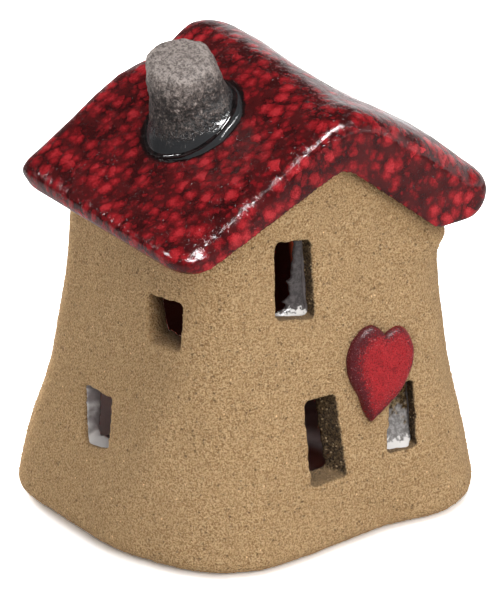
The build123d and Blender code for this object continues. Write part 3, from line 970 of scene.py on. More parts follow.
def pool_form(roof, chimney):
    """The ring of black glaze pooled between the roof and the chimney's foot."""
    stub, normal = surface_of(chimney), slope_normal()
    ways = turned_ways(np.cross([0, 1, 0], normal), [0, 1, 0], POOL_AROUND)
    rise, spread = (
        least + more * (lattice_noise(ways * POOL_RADIUS, *waves) + 1) / 2
        for (least, more), waves in zip((POOL_RISE, POOL_SPREAD), POOL_WAVES)
    )
    foot, upper = (
        first_hits(stub, CHIMNEY_SEAT + normal * height + ways * RAY_START, -ways)
        for height in (POOL_FOOT, POOL_HEAD)
    )
    upper = upper + normal * rise[:, None]
    upper = np.array([stub.find_nearest(Vector(p * MM))[0] for p in upper]) / MM
    above = foot + ways * spread[:, None] + normal * RAY_ABOVE
    outer = first_hits(surface_of(roof), above, np.broadcast_to(-normal, above.shape))
    bulge = foot + ways * POOL_BULGE[0] + normal * POOL_BULGE[1]
    rings = [bowed(upper, bulge, outer, t) for t in np.linspace(0, 1, 9)]
    rings += [
        outer - normal * POOL_SUNK,
        foot - ways * POOL_INSET[0] - normal * POOL_SUNK,
        upper - ways * POOL_INSET[1],
    ]
    faces = []
    for k in range(len(rings)):
        faces += band_faces(k * POOL_AROUND, (k + 1) % len(rings) * POOL_AROUND, POOL_AROUND)
    return outward(new_piece("chimney_glaze_pool", np.vstack(rings), faces))


def heart_outline():
    """Outline of the heart from its tip, across and up, slightly uneven."""
    right = HEART_SHARES
    sized = right * (HEART_HALF_WIDTH, HEART_HEIGHT)
    steps = np.r_[0, np.cumsum(np.linalg.norm(np.diff(sized, axis=0), axis=1))]
    fine = np.linspace(0, steps[-1], 73)
    side = np.stack([smooth_curve(steps, right[:, k], fine) for k in (0, 1)], axis=1)
    left = side[::-1][1:-1] * (-1, 1)
    left[:, 0] *= 1 - 0.26 * hump(left[:, 1], 0.2, 0.17)
    outline = np.vstack([side, left]) * (HEART_HALF_WIDTH, HEART_HEIGHT)
    places = np.c_[outline, np.zeros(len(outline))]
    return outline + np.stack([lumps(places, (layer,)) for layer in HEART_WAVER], axis=1)


def heart_ways():
    """The ways across and up the leaning heart, both as shares across and up the wall."""
    lean = math.radians(HEART_LEAN)
    return np.array([math.cos(lean), -math.sin(lean)]), np.array([math.sin(lean), math.cos(lean)])


def heart_on_wall(flat):
    """Places across and up the wall, from places across and up the heart."""
    across, upward = heart_ways()
    return HEART_TIP + flat[:, :1] * across + flat[:, 1:] * upward


def off_front_wall(spots, height):
    """Points over the outer face of the front wall, from places across and up it."""
    x, z = spots.T
    lean_out = (front_face(x, z + FACE_STEP) - front_face(x, z - FACE_STEP)) / (2 * FACE_STEP)
    normals = np.stack([np.zeros(len(x)), -np.ones(len(x)), lean_out], axis=1)
    normals /= np.linalg.norm(normals, axis=1)[:, None]
    return np.stack([x, front_face(x, z), z], axis=1) + normals * height


def heart_form():
    """The pillowed heart, with how near each point is to its thin rim, raised towards the left so that the
    left of the heart is darker.
    """
    outline = heart_outline()
    middle = np.array([HEART_MIDDLE_X, HEART_HEIGHT * HEART_MIDDLE_SHARE])
    layers = [(0.95, -HEART_SUNK)]
    layers += [(share, HEART_THICKNESS * swell) for share, swell in HEART_EDGE_SHARES]
    for share in HEART_FACE_SHARES:
        layers.append((share, HEART_THICKNESS * (0.7 + 0.3 * (1 - (share / 0.94) ** 2) ** 0.6)))
    rings = [off_front_wall(heart_on_wall(middle + (outline - middle) * s), h) for s, h in layers]
    flat = np.array(rings).reshape(-1, 3)
    flat[:, 1] -= lumps(flat, HEART_LUMPS)
    heart = lofted("heart_slab", flat.reshape(np.shape(rings)))
    shares = np.array([share for share, _ in layers])
    rim = np.repeat(np.clip((shares - 0.42) / 0.5, 0, 1), len(outline))
    across, upward = heart_ways()
    spots = flat[:, [0, 2]] - HEART_TIP - upward * HEART_HEIGHT * HEART_MIDDLE_SHARE
    to_the_left = np.clip(-(spots @ across) / HEART_HALF_WIDTH, -0.7, 1)
    store(heart, rim=np.r_[rim + to_the_left * 0.38, 1.0, 0.0])
    return heart


# Materials
def shade(colour, factor):
    return tuple(min(c * factor, 1.0) for c in colour)


class Nodes:
    """A node tree that is filled by short calls."""

    def __init__(self, tree):
        self.tree = tree
        tree.nodes.clear()

    def node(self, kind, inputs=None, **settings):
        made = self.tree.nodes.new(kind)
        for key, value in settings.items():
            setattr(made, key, value)
        for key, value in (inputs or {}).items():
            self.feed(made.inputs[key], value)
        return made

    def feed(self, socket, value):
        if isinstance(value, bpy.types.NodeSocket):
            self.tree.links.new(value, socket)
        else:
            socket.default_value = value

    def math(self, operation, a, b):
        return self.node("ShaderNodeMath", {0: a, 1: b}, operation=operation).outputs[0]

    def plus(self, a, b):
        return self.math("ADD", a, b)

    def minus(self, a, b):
        return self.math("SUBTRACT", a, b)

    def times(self, a, b):
        return self.math("MULTIPLY", a, b)

    def larger(self, a, b):
        return self.math("MAXIMUM", a, b)

    def centred(self, value, amount):
        """A value from 0 to 1, made to swing about 0 by the amount."""
        return self.times(self.minus(value, 0.5), amount)

    def ramp(self, value, low, high, to_low=0.0, to_high=1.0):
        """Maps low..high smoothly to to_low..to_high."""
        inputs = {"Value": value, "From Min": low, "From Max": high, "To Min": to_low, "To Max": to_high}
        return self.node("ShaderNodeMapRange", inputs, interpolation_type="SMOOTHSTEP").outputs["Result"]

    def split(self, vector):
        return self.node("ShaderNodeSeparateXYZ", {"Vector": vector}).outputs


class Finish(Nodes):
    """Builds one material out of nodes. Patterns have their sizes in millimetres."""

    def __init__(self, name):
        self.material = bpy.data.materials.new(name)
        self.material.use_nodes = True
        super().__init__(self.material.node_tree)
        self.shader = self.node("ShaderNodeBsdfPrincipled")
        self.surface = self.node("ShaderNodeOutputMaterial").inputs["Surface"]
        self.feed(self.surface, self.shader.outputs[0])
        self.place = self.node("ShaderNodeTexCoord").outputs["Object"]

    def set(self, **values):
        for key, value in values.items():
            self.feed(self.shader.inputs[key.replace("_", " ")], value)

    def noise(self, size, detail=2.0, roughness=0.5, distortion=0.0):
        """Noise from 0 to 1 with patches about one size across."""
        inputs = {
            "Vector": self.place,
            "Scale": 1.0 / (size * MM),
            "Detail": detail,
            "Roughness": roughness,
            "Distortion": distortion,
        }
        return self.node("ShaderNodeTexNoise", inputs).outputs["Fac"]

    def cells(self, size, place):
        """Distance from the middle of a cell, and a random number for each cell."""
        made = self.node("ShaderNodeTexVoronoi", {"Vector": place, "Scale": 1.0 / (size * MM)}).outputs
        pick = self.node("ShaderNodeSeparateColor", {"Color": made["Color"]}).outputs[0]
        return made["Distance"], pick

    def warped(self, size, amount, place=None):
        """The place moved about by noise."""
        place = place or self.place
        noise = self.node("ShaderNodeTexNoise", {"Vector": place, "Scale": 1.0 / (size * MM), "Detail": 2.0})
        centred = self.node(
            "ShaderNodeVectorMath", {0: noise.outputs["Color"], 1: (0.5, 0.5, 0.5)}, operation="SUBTRACT"
        )
        scaled = self.node(
            "ShaderNodeVectorMath", {0: centred.outputs[0], "Scale": 2 * amount * MM}, operation="SCALE"
        )
        return self.node("ShaderNodeVectorMath", {0: place, 1: scaled.outputs[0]}, operation="ADD").outputs[0]

    def mix(self, factor, a, b, blend="MIX"):
        made = self.node("ShaderNodeMix", {"Factor": factor}, data_type="RGBA", blend_type=blend)
        sockets = [socket for socket in made.inputs if socket.type == "RGBA"]
        for socket, value in zip(sockets, (a, b)):
            self.feed(socket, value if isinstance(value, bpy.types.NodeSocket) else (*value, 1.0))
        return [socket for socket in made.outputs if socket.type == "RGBA"][0]

    def between(self, value, low, high, a, b, most=1.0):
        """Colour a where the value is low, and up to most of colour b where it is high."""
        return self.mix(self.ramp(value, low, high, 0.0, most), a, b)

    def attribute(self, name):
        return self.node("ShaderNodeAttribute", attribute_name=name).outputs["Fac"]

    def axis(self, name):
        return self.split(self.place)[name]

    def relief(self, height, distance, strength=1.0):
        """Raises the surface where the height is large, by up to the distance."""
        inputs = {"Height": height, "Distance": distance * MM, "Strength": strength}
        self.set(Normal=self.node("ShaderNodeBump", inputs).outputs[0])


def clay_colour(finish, settings):
    """Bare grogged clay: fine mottling, small brown pits, a few pale grains."""
    body, light, size = settings.clay_colour, settings.clay_light, settings.grog_size
    grain = finish.noise(size * 1.25, 1.5, 0.6)
    colour = finish.between(grain, 0.33, 0.56, settings.clay_dark, body)
    colour = finish.between(grain, 0.5, 0.66, colour, light, 0.9)
    colour = finish.between(finish.noise(11.0, 3.0, 0.55), 0.35, 0.7, colour, shade(body, 0.8), 0.25)
    cell, pick = finish.cells(size * 2.4, finish.warped(0.9, 0.3))
    pit = finish.times(finish.ramp(cell, 0.5, 0.2), finish.ramp(pick, 0.8, 1.0, 0.0, 0.6))
    colour = finish.mix(pit, colour, settings.pit_colour)
    pale = finish.times(finish.ramp(cell, 0.36, 0.16), finish.ramp(pick, 0.03, 0.015))
    colour = finish.mix(pale, colour, shade(light, 1.35))
    height = finish.plus(grain, finish.times(finish.noise(size * 3.2, 2.0), 0.9))
    return colour, finish.minus(height, finish.times(pit, 0.9))


def cut_colour_and_shade(finish, settings):
    """Clay torn by the knife in the window reveals: coarse, with pale specks, and dark partly for its own
    tone and partly as painted shade of the deep reveals.
    """
    coarse = finish.noise(0.62, 2.0, 0.6)
    colour = finish.between(coarse, 0.38, 0.6, settings.cut_dark_and_shade, settings.cut_colour_and_shade)
    colour = finish.between(finish.noise(2.6, 2.0, 0.5), 0.4, 0.7, colour, settings.cut_dark_and_shade, 0.45)
    cell, pick = finish.cells(0.85, finish.warped(0.8, 0.3))
    speck = finish.times(finish.ramp(cell, 0.5, 0.25), finish.ramp(pick, 0.2, 0.08, 0.0, 0.75))
    return finish.mix(speck, colour, settings.clay_light), coarse


def inside_colour(finish, settings, depth, facing_up):
    """Glaze of the room: grey, pale at the rear left, white on the sills as pooled glaze with a painted
    highlight, and brown higher up, painted brighter on the right wall as painted light and near black on the
    rear wall as painted shade.
    """
    grey = settings.inside_grey
    tone = finish.between(finish.noise(5.0, 3.0), 0.3, 0.7, shade(grey, 0.62), grey)
    far_left = finish.times(finish.ramp(depth, 0.95, 0.99), finish.ramp(finish.axis("X"), *FAR_LEFT_BAND))
    tone = finish.mix(far_left, tone, settings.inside_pale)
    # the sills: pale pooled glaze where the surface faces up, partly a painted highlight
    sill = finish.times(finish.ramp(facing_up, 0.25, 0.6), finish.ramp(depth, 1.0, 0.94))
    tone = finish.mix(sill, tone, settings.sill_glaze_and_highlight)
    # painted light: the upper brown made brighter on the right wall, lit through the left windows and the
    # doorway; painted shade: near black on the rear wall higher up
    brown = shade(settings.inside_brown, 2.2)
    brown = finish.between(finish.axis("Y"), *REAR_SHADE_BAND, brown, settings.upper_rear_shade)
    level = finish.plus(finish.axis("Z"), finish.times(finish.noise(14.0, 3.0), 0.03))
    upper = finish.times(finish.ramp(level, *UPPER_ROOM_BAND), finish.ramp(depth, 0.94, 0.99))
    return finish.mix(upper, tone, brown)


def clay_finish(settings):
    """The walls: bare clay outside, torn clay in the reveals and glaze inside, with painted shade in the
    reveals and painted light where their torn clay faces up.
    """
    finish = Finish("clay")
    colour, height = clay_colour(finish, settings)
    torn, coarse = cut_colour_and_shade(finish, settings)
    depth = finish.attribute("depth")

    # the tint that the roof glaze leaves on the clay next to it
    near_roof = finish.ramp(finish.attribute("below_roof"), 4.5, 0.3)
    halo = finish.times(near_roof, finish.ramp(finish.noise(4.0, 2.0), 0.3, 0.6, 0.25, 0.7))
    colour = finish.mix(halo, colour, settings.halo_colour)

    # the clay of the reveals: painted shade deepening into the reveals that were cut smoothly, torn clay
    # elsewhere and in the crumbs
    torn_here = finish.attribute("torn")
    shadow = finish.times(finish.ramp(torn_here, 1.0, 0.3), finish.ramp(depth, 0.0, 0.9, 0.0, 0.85))
    colour = finish.mix(shadow, colour, settings.cut_dark_and_shade)
    facing_up = finish.split(finish.node("ShaderNodeNewGeometry").outputs["Normal"])["Z"]
    # painted light: the torn clay made lighter, towards the clay's own colour, where it faces up on the sills
    torn = finish.between(facing_up, 0.3, 0.8, torn, settings.clay_colour, 0.45)
    edge = finish.plus(depth, finish.centred(finish.noise(1.0, 2.0), 0.12))
    in_reveal = finish.times(finish.ramp(edge, 0.03, 0.11), torn_here)
    crumbly = finish.ramp(finish.noise(0.7, 2.0), 0.42, 0.58, 0.1, 0.75)
    crumb = finish.times(finish.attribute("crumb"), crumbly)
    colour = finish.mix(finish.larger(in_reveal, crumb), colour, torn)

    # the glaze inside, with its ragged edge in the reveals
    ragged = finish.centred(finish.noise(2.2, 3.0, 0.6), 0.9)
    glazed = finish.ramp(finish.plus(finish.attribute("glaze"), ragged), 0.47, 0.55)
    finish.set(
        Base_Color=finish.mix(glazed, colour, inside_colour(finish, settings, depth, facing_up)),
        Roughness=finish.ramp(glazed, 0.0, 1.0, 0.92, 0.3),
        Specular_IOR_Level=finish.ramp(glazed, 0.0, 1.0, 0.25, 0.08),
    )
    height = finish.plus(height, finish.times(finish.times(coarse, in_reveal), 2.2))
    finish.relief(finish.times(height, finish.ramp(glazed, 0.0, 1.0, 1.0, 0.08)), settings.relief)
    return finish.material


def grain_finish(settings):
    """Grog grains, darker and lighter than the clay round them."""
    finish = Finish("clay_grains")
    dark = shade(settings.clay_colour, 0.7)
    tone = finish.between(finish.noise(0.7, 1.0), 0.35, 0.65, dark, settings.clay_light)
    finish.set(Base_Color=tone, Roughness=0.9, Specular_IOR_Level=0.2)
    return finish.material


def floor_finish(settings):
    """The floor slab: glazed on top, bare clay below."""
    finish = Finish("floor_clay")
    colour, height = clay_colour(finish, settings)
    on_top = finish.ramp(finish.axis("Z"), *FLOOR_TOP_BAND)
    grey = settings.inside_grey
    glaze = finish.between(finish.noise(7.0, 3.0), 0.35, 0.65, grey, shade(grey, 0.65))
    roughness = finish.ramp(on_top, 0.0, 1.0, 0.92, 0.3)
    finish.set(Base_Color=finish.mix(on_top, colour, glaze), Roughness=roughness, Specular_IOR_Level=0.25)
    finish.relief(finish.times(height, finish.ramp(on_top, 0.0, 1.0, 1.0, 0.1)), 0.3)
    return finish.material


def roof_finish(settings, ceiling_brown):
    """Flowing red glaze: soft bright blobs over a near-black red."""
    finish = Finish("red_glaze")
    red, dark, size = settings.roof_red, settings.roof_dark, settings.blob_size
    place = finish.warped(1.1, 0.35, finish.warped(3.2, 1.0))
    fine = finish.noise(0.5, 3.0, 0.7)
    middle = finish.noise(1.5, 3.0, 0.6)
    grain = finish.plus(finish.centred(fine, 0.5), finish.centred(middle, 0.75))
    cell, pick = finish.cells(size, place)
    spread = finish.times(finish.minus(pick, 0.6), 0.45)
    large = finish.plus(finish.minus(cell, spread), grain)
    blob = finish.ramp(large, 0.72, 0.22)
    core = finish.times(finish.ramp(large, 0.4, 0.0), finish.ramp(pick, 0.1, 0.9, 0.25, 1.0))
    cell, pick = finish.cells(size * 0.5, place)
    small = finish.ramp(finish.plus(cell, grain), 0.5, 0.12)
    dots = finish.times(small, finish.ramp(pick, 0.4, 0.7, 0.0, 0.75))
    ground = finish.between(finish.noise(6.0, 2.0), 0.35, 0.65, dark, shade(dark, 2.6))
    colour = finish.mix(finish.larger(blob, dots), ground, red)
    colour = finish.mix(core, colour, settings.roof_core)
    colour = finish.between(fine, 0.35, 0.7, colour, shade(red, 0.35), 0.35)

    # the dark pool of glaze round the chimney foot, and the bare ceiling of the room
    near = finish.plus(finish.attribute("from_chimney"), finish.times(middle, 2.6))
    colour = finish.between(near, 1.8, 0.7, colour, ROUND_POOL)
    rough = settings.roof_roughness
    finish.set(
        Base_Color=finish.mix(finish.attribute("ceiling"), colour, ceiling_brown),
        Roughness=finish.ramp(fine, 0.3, 0.7, rough * 0.8, rough * 1.25),
        Specular_IOR_Level=0.5,
    )
    ripple = finish.plus(finish.noise(2.6, 1.0), finish.times(blob, 0.4))
    pimple = finish.times(finish.ramp(finish.noise(0.7, 1.0), 0.62, 0.74), 0.7)
    finish.relief(finish.plus(ripple, pimple), 0.16, 0.8)
    return finish.material


def chimney_finish(settings):
    """Dry, crusty glaze, dark on the sides, pale on the top and wet at the foot."""
    finish = Finish("chimney_glaze")
    dark, mid, light = settings.chimney_dark, settings.chimney_mid, settings.chimney_light
    up = finish.attribute("up")
    crust = finish.noise(1.5, 3.0, 0.7)
    veins = finish.noise(2.4, 2.0, 0.6, 1.2)
    ridge = finish.plus(finish.times(finish.noise(0.6, 3.0, 0.7), 0.5), finish.times(crust, 0.5))
    side = finish.between(ridge, 0.44, 0.6, dark, mid)
    side = finish.mix(finish.times(finish.ramp(ridge, 0.56, 0.66), finish.ramp(up, 0.1, 0.5)), side, light)
    top = finish.between(ridge, 0.4, 0.58, mid, light)
    colour = finish.between(finish.plus(up, finish.centred(veins, 0.7)), 0.55, 1.05, side, top)
    wet = finish.ramp(finish.plus(up, finish.centred(crust, 0.4)), 0.3, 0.12)
    finish.set(
        Base_Color=finish.mix(wet, colour, WET_CHIMNEY),
        Roughness=finish.ramp(wet, 0.0, 1.0, 0.6, 0.16),
        Specular_IOR_Level=0.5,
    )
    height = finish.plus(ridge, finish.times(veins, 0.6))
    finish.relief(finish.times(height, finish.ramp(wet, 0.0, 1.0, 1.0, 0.15)), 0.75, 0.9)
    return finish.material


def pool_finish():
    finish = Finish("black_glaze")
    tone = finish.between(finish.noise(1.5, 2.0), 0.4, 0.6, POOL_DARK, POOL_LIGHT)
    finish.set(Base_Color=tone, Roughness=0.06, Specular_IOR_Level=0.7)
    finish.relief(finish.noise(1.8, 2.0), 0.12, 0.5)
    return finish.material


def heart_finish(settings):
    """Red satin glaze, thin and dark along the edges, with a fine speckle and small painted sparkle
    highlights.
    """
    finish = Finish("heart_glaze")
    red = settings.heart_red
    rim = finish.attribute("rim")
    patch = finish.noise(2.0, 3.0, 0.7)
    fine = finish.noise(0.55, 2.0, 0.65)
    tiny = finish.noise(0.42, 2.0, 0.7)
    blend = finish.plus(finish.times(patch, 0.45), finish.times(fine, 0.55))
    colour = finish.between(patch, 0.3, 0.65, shade(red, 0.72), red)
    edge = finish.plus(rim, finish.centred(blend, 3.2))
    colour = finish.between(edge, 0.35, 1.15, colour, settings.heart_dark, 0.92)
    colour = finish.between(tiny, 0.52, 0.36, colour, shade(red, 0.22), 0.75)
    # small pale specks painted as sparkle highlights, most of them towards the edges
    speck = finish.times(finish.ramp(tiny, 0.6, 0.7), finish.ramp(rim, 0.2, 0.6, 0.1, 0.6))
    finish.set(
        Base_Color=finish.mix(speck, colour, HEART_SPARKLE_HIGHLIGHT),
        Roughness=finish.ramp(fine, 0.3, 0.7, 0.25, 0.45),
        Specular_IOR_Level=0.25,
    )
    finish.relief(finish.times(blend, finish.ramp(rim, 0.1, 0.7, 0.45, 1.0)), 0.4, 0.8)
    return finish.material


def run_finish(settings):
    """Glaze that ran down the reveals: grey or stained brown, pale where it is thick at the foot, partly as
    pooled pale glaze and partly as a painted highlight.
    """
    finish = Finish("run_glaze")
    grey = settings.inside_grey
    low, stain = finish.attribute("low"), finish.attribute("stain")
    streak = finish.noise(1.3, 3.0, 0.65)
    clean = finish.between(streak, 0.4, 0.62, shade(grey, 0.22), shade(grey, 0.38))
    stained = finish.between(streak, 0.4, 0.62, *RUN_STAINED)
    brown = finish.between(streak, 0.42, 0.6, settings.cut_dark_and_shade, RUN_BROWN)
    upper = finish.ramp(finish.plus(low, finish.centred(finish.noise(2.0, 2.0), 0.9)), 0.6, 0.35)
    colour = finish.mix(finish.times(stain, upper), finish.mix(stain, clean, stained), brown)
    # pale where the run is thickest at its foot: pooled glaze, partly a painted highlight
    drop = finish.plus(low, finish.centred(finish.noise(1.2, 3.0), 0.3))
    thick = finish.plus(drop, finish.times(stain, 0.06))
    colour = finish.between(thick, 0.9, 0.95, colour, settings.sill_glaze_and_highlight)
    finish.set(Base_Color=colour, Roughness=0.22, Specular_IOR_Level=0.5)
    finish.relief(streak, 0.25, 0.7)
    return finish.material


def metal_finish(name, colour, roughness):
    finish = Finish(name)
    tone = finish.between(finish.noise(3.0, 3.0), 0.35, 0.65, colour, shade(colour, 0.8))
    finish.set(Base_Color=tone, Metallic=1.0, Roughness=roughness)
    finish.relief(finish.noise(1.4, 2.0), 0.05, 0.6)
    return finish.material


def wax_finish(colour):
    finish = Finish("candle_wax")
    tone = finish.between(finish.noise(4.0, 3.0), 0.35, 0.65, colour, shade(colour, 0.93))
    finish.set(Base_Color=tone, Roughness=0.42, Subsurface_Weight=0.35, Subsurface_Scale=0.002)
    finish.relief(finish.noise(2.4, 2.0), 0.12, 0.6)
    return finish.material


def wick_finish():
    finish = Finish("waxed_cotton")
    wave = {"Vector": finish.place, "Scale": 420.0, "Distortion": 1.5}
    twist = finish.node("ShaderNodeTexWave", wave, bands_direction="DIAGONAL").outputs["Fac"]
    finish.set(Base_Color=finish.mix(twist, *WICK_TWIST), Roughness=0.7)
    finish.relief(twist, 0.15)
    return finish.material


def stage_floor_finish():
    """White to the camera, and dimmer where the glaze mirrors it, as in a studio."""
    finish = Finish("pale_floor")
    finish.tree.nodes.remove(finish.shader)
    reach = finish.node("ShaderNodeVectorMath", {0: finish.place}, operation="LENGTH").outputs["Value"]
    ahead = finish.ramp(reach, 0.25, 1.3, 0.32, 0.06)
    near = finish.node("ShaderNodeCombineColor", {0: ahead, 1: ahead, 2: ahead}).outputs[0]
    behind = finish.times(
        finish.ramp(finish.axis("Y"), -0.15, 0.35), finish.ramp(finish.axis("X"), -0.1, 0.12)
    )
    mirrored = finish.mix(1.0, near, finish.mix(behind, (0.0, 0.0, 0.0), (0.6, 0.6, 0.6)), "LIGHTEN")
    ray = finish.node("ShaderNodeLightPath").outputs
    colour = finish.mix(ray["Is Glossy Ray"], (0.8, 0.8, 0.8), mirrored)
    colour = finish.mix(ray["Is Camera Ray"], colour, (1.7, 1.7, 1.7))
    finish.feed(finish.surface, finish.node("ShaderNodeBsdfDiffuse", {"Color": colour}).outputs[0])
    return finish.material


def studio_world(settings):
    """White to the camera. Mirrored rays see a bright backdrop behind the house and a dark room
    elsewhere, and all others an even light."""
    world = bpy.data.worlds.new("studio")
    world.use_nodes = True
    nodes = Nodes(world.node_tree)

    def background(strength):
        return nodes.node("ShaderNodeBackground", {"Color": WHITE, "Strength": strength}).outputs[0]

    way = nodes.split(nodes.node("ShaderNodeTexCoord").outputs["Generated"])
    low_down = nodes.ramp(way["Z"], 0.42, 0.05)
    behind = nodes.times(low_down, nodes.ramp(way["X"], 0.1, 0.6, 0.0, settings.backdrop))
    around = nodes.ramp(way["Y"], -0.2, 0.7, settings.room_light * 1.19, settings.room_light * 0.5)
    ray = nodes.node("ShaderNodeLightPath").outputs
    shown = {0: ray["Is Glossy Ray"], 1: background(around), 2: background(nodes.plus(behind, 0.05))}
    lit = nodes.node("ShaderNodeMixShader", shown).outputs[0]
    seen = nodes.node("ShaderNodeMixShader", {0: ray["Is Camera Ray"], 1: lit, 2: background(1.0)})
    nodes.node("ShaderNodeOutputWorld", {"Surface": seen.outputs[0]})
    return world


# Settings
def colour_setting(name, description, default):
    return bpy.props.FloatVectorProperty(
        name=name, description=description, subtype="COLOR", size=3, min=0.0, max=1.0, default=default
    )


def number_setting(name, description, default, **limits):
    return bpy.props.FloatProperty(name=name, description=description, default=default, **limits)


class ClaySettings(bpy.types.PropertyGroup):
    """Bare clay of the walls, and the glaze inside them"""

    clay_colour: colour_setting("Clay", "Main colour of the bare clay", (0.58, 0.37, 0.179))
    clay_dark: colour_setting("Dark clay", "Colour between the grains", (0.335, 0.19, 0.078))
    clay_light: colour_setting("Light clay", "Colour of the paler grains", (0.70, 0.485, 0.27))
    pit_colour: colour_setting("Pits", "Colour in the small pits", (0.13, 0.072, 0.032))
    # darker than the clay partly for its own tone and partly as painted shade of the reveals
    cut_colour_and_shade: colour_setting("Cut clay", "Torn clay in the reveals", (0.17, 0.105, 0.048))
    # the darkest tone of the torn clay, and also the colour of the painted shade in the smoothly cut reveals
    cut_dark_and_shade: colour_setting("Cut clay, dark", "Darkest tone of the torn clay", (0.045, 0.026, 0.011))
    halo_colour: colour_setting("Halo", "Tint of the clay next to the roof", (0.36, 0.25, 0.11))
    # pale pooled glaze on the sills and at the foot of the runs, partly a painted highlight
    sill_glaze_and_highlight: colour_setting("Sill glaze", "Glaze where it lies thick on the sills", (0.80, 0.77, 0.74))
    inside_grey: colour_setting("Inside glaze", "Glaze on the lower inside walls", (0.3, 0.262, 0.257))
    inside_brown: colour_setting("Upper inside", "Red-brown of the upper room", (0.55, 0.105, 0.045))
    inside_pale: colour_setting("Pale rear", "Inside of the rear wall low on the left", (0.74, 0.69, 0.67))
    # painted shade on the inside of the rear wall higher up
    upper_rear_shade: colour_setting("Upper rear", "Inside of the rear wall higher up", (0.05, 0.012, 0.007))
    relief: number_setting("Relief", "Height of the clay's grain, in millimetres", 1.2, min=0.0, max=2.0)
    grog_size: number_setting("Grog", "Size of the clay's grain, in millimetres", 0.42, min=0.1, max=2.0)
    grid_size: number_setting("Grid", "Face size of the wall mesh, in millimetres", 0.75, min=0.4, max=3.0)
    grain_count: number_setting("Grains", "Grains standing out, for each square metre", 150000.0, min=0.0)
    grain_size: number_setting(
        "Grain size", "Radius of the grains standing out", 0.00022, subtype="DISTANCE", unit="LENGTH"
    )
    seed: bpy.props.IntProperty(name="Seed", description="Arrangement of the grains", default=7)


class GlazeSettings(bpy.types.PropertyGroup):
    """Glazes of the roof, chimney and heart, and the wax"""

    roof_dark: colour_setting("Roof dark", "Darkest tone of the roof glaze", (0.03, 0.0028, 0.003))
    roof_red: colour_setting("Roof red", "Red of the blobs in the roof glaze", (0.31, 0.0095, 0.0145))
    roof_core: colour_setting("Roof core", "Middle of the brighter blobs", (0.56, 0.03, 0.038))
    blob_size: number_setting("Blobs", "Spacing of the blobs, in millimetres", 4.0, min=1.0, max=20.0)
    roof_roughness: number_setting("Roof roughness", "Roughness of the roof glaze", 0.11, min=0.0, max=1.0)
    chimney_dark: colour_setting("Chimney dark", "Darkest tone of the chimney", (0.016, 0.013, 0.012))
    chimney_mid: colour_setting("Chimney middle", "Middle tone of the chimney", (0.11, 0.08, 0.068))
    chimney_light: colour_setting("Chimney light", "Dry, pale tone on the chimney", (0.40, 0.335, 0.30))
    heart_red: colour_setting("Heart red", "Red of the heart", (0.47, 0.02, 0.026))
    heart_dark: colour_setting("Heart edge", "Dark speckle round the heart", (0.06, 0.010, 0.014))
    wax_colour: colour_setting("Wax", "Colour of the candle wax", (0.86, 0.84, 0.78))


class StageSettings(bpy.types.PropertyGroup):
    """Camera, lamps and the light from all round"""

    lens: number_setting("Lens", "Focal length in millimetres", 251.82, min=20.0, max=500.0)
    key_power: number_setting("Key", "Power of the large lamp in front", 11.0, subtype="POWER")
    top_power: number_setting("Top", "Power of the lamp overhead", 4.0, subtype="POWER")
    back_power: number_setting("Back", "Power of the low lamp behind", 14.0, subtype="POWER")
    inside_power: number_setting("Inside", "Power of the faint light in the room", 0.0022, subtype="POWER")
    backdrop: number_setting("Backdrop", "Brightness of the backdrop in the glaze", 1.1)
    room_light: number_setting("Room light", "Strength of the even light from all round", 0.5)


# Pieces
def built_piece(name):
    """A piece that an earlier step has built."""
    found = bpy.data.objects.get(name)
    if found is None:
        raise RuntimeError(name + " is built first")
    return found


class WallsOperator(bpy.types.Operator):
    """Build the four luted walls with their hand-cut windows and the rear doorway"""

    bl_idname = "tealight_house.walls"
    bl_label = "Walls"

    def execute(self, context):
        settings = context.scene.house_clay
        walls = cut_walls()
        remeshed(walls, settings.grid_size, WALL_SMOOTHING)
        thin_inside(walls, depth_in_wall(points_of(walls)))
        points, normals = points_of(walls), normals_of(walls)
        depth = depth_in_wall(points)
        crumb = beside_heart(points, depth)
        move_points(walls, hand_built(points, normals, depth, crumb))
        cover, depth = glaze_cover(points, depth)
        store(walls, depth=depth, glaze=cover, crumb=crumb)
        store(walls, below_roof=below_roof(points), torn=torn_share(points))
        put_finish(walls, clay_finish(settings))
        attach(walls, "house")
        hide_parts("front_wall", "left_wall", "right_wall", "rear_wall")
        put_finish(frame["nodes"]["floor_slab"], floor_finish(settings))
        return {"FINISHED"}


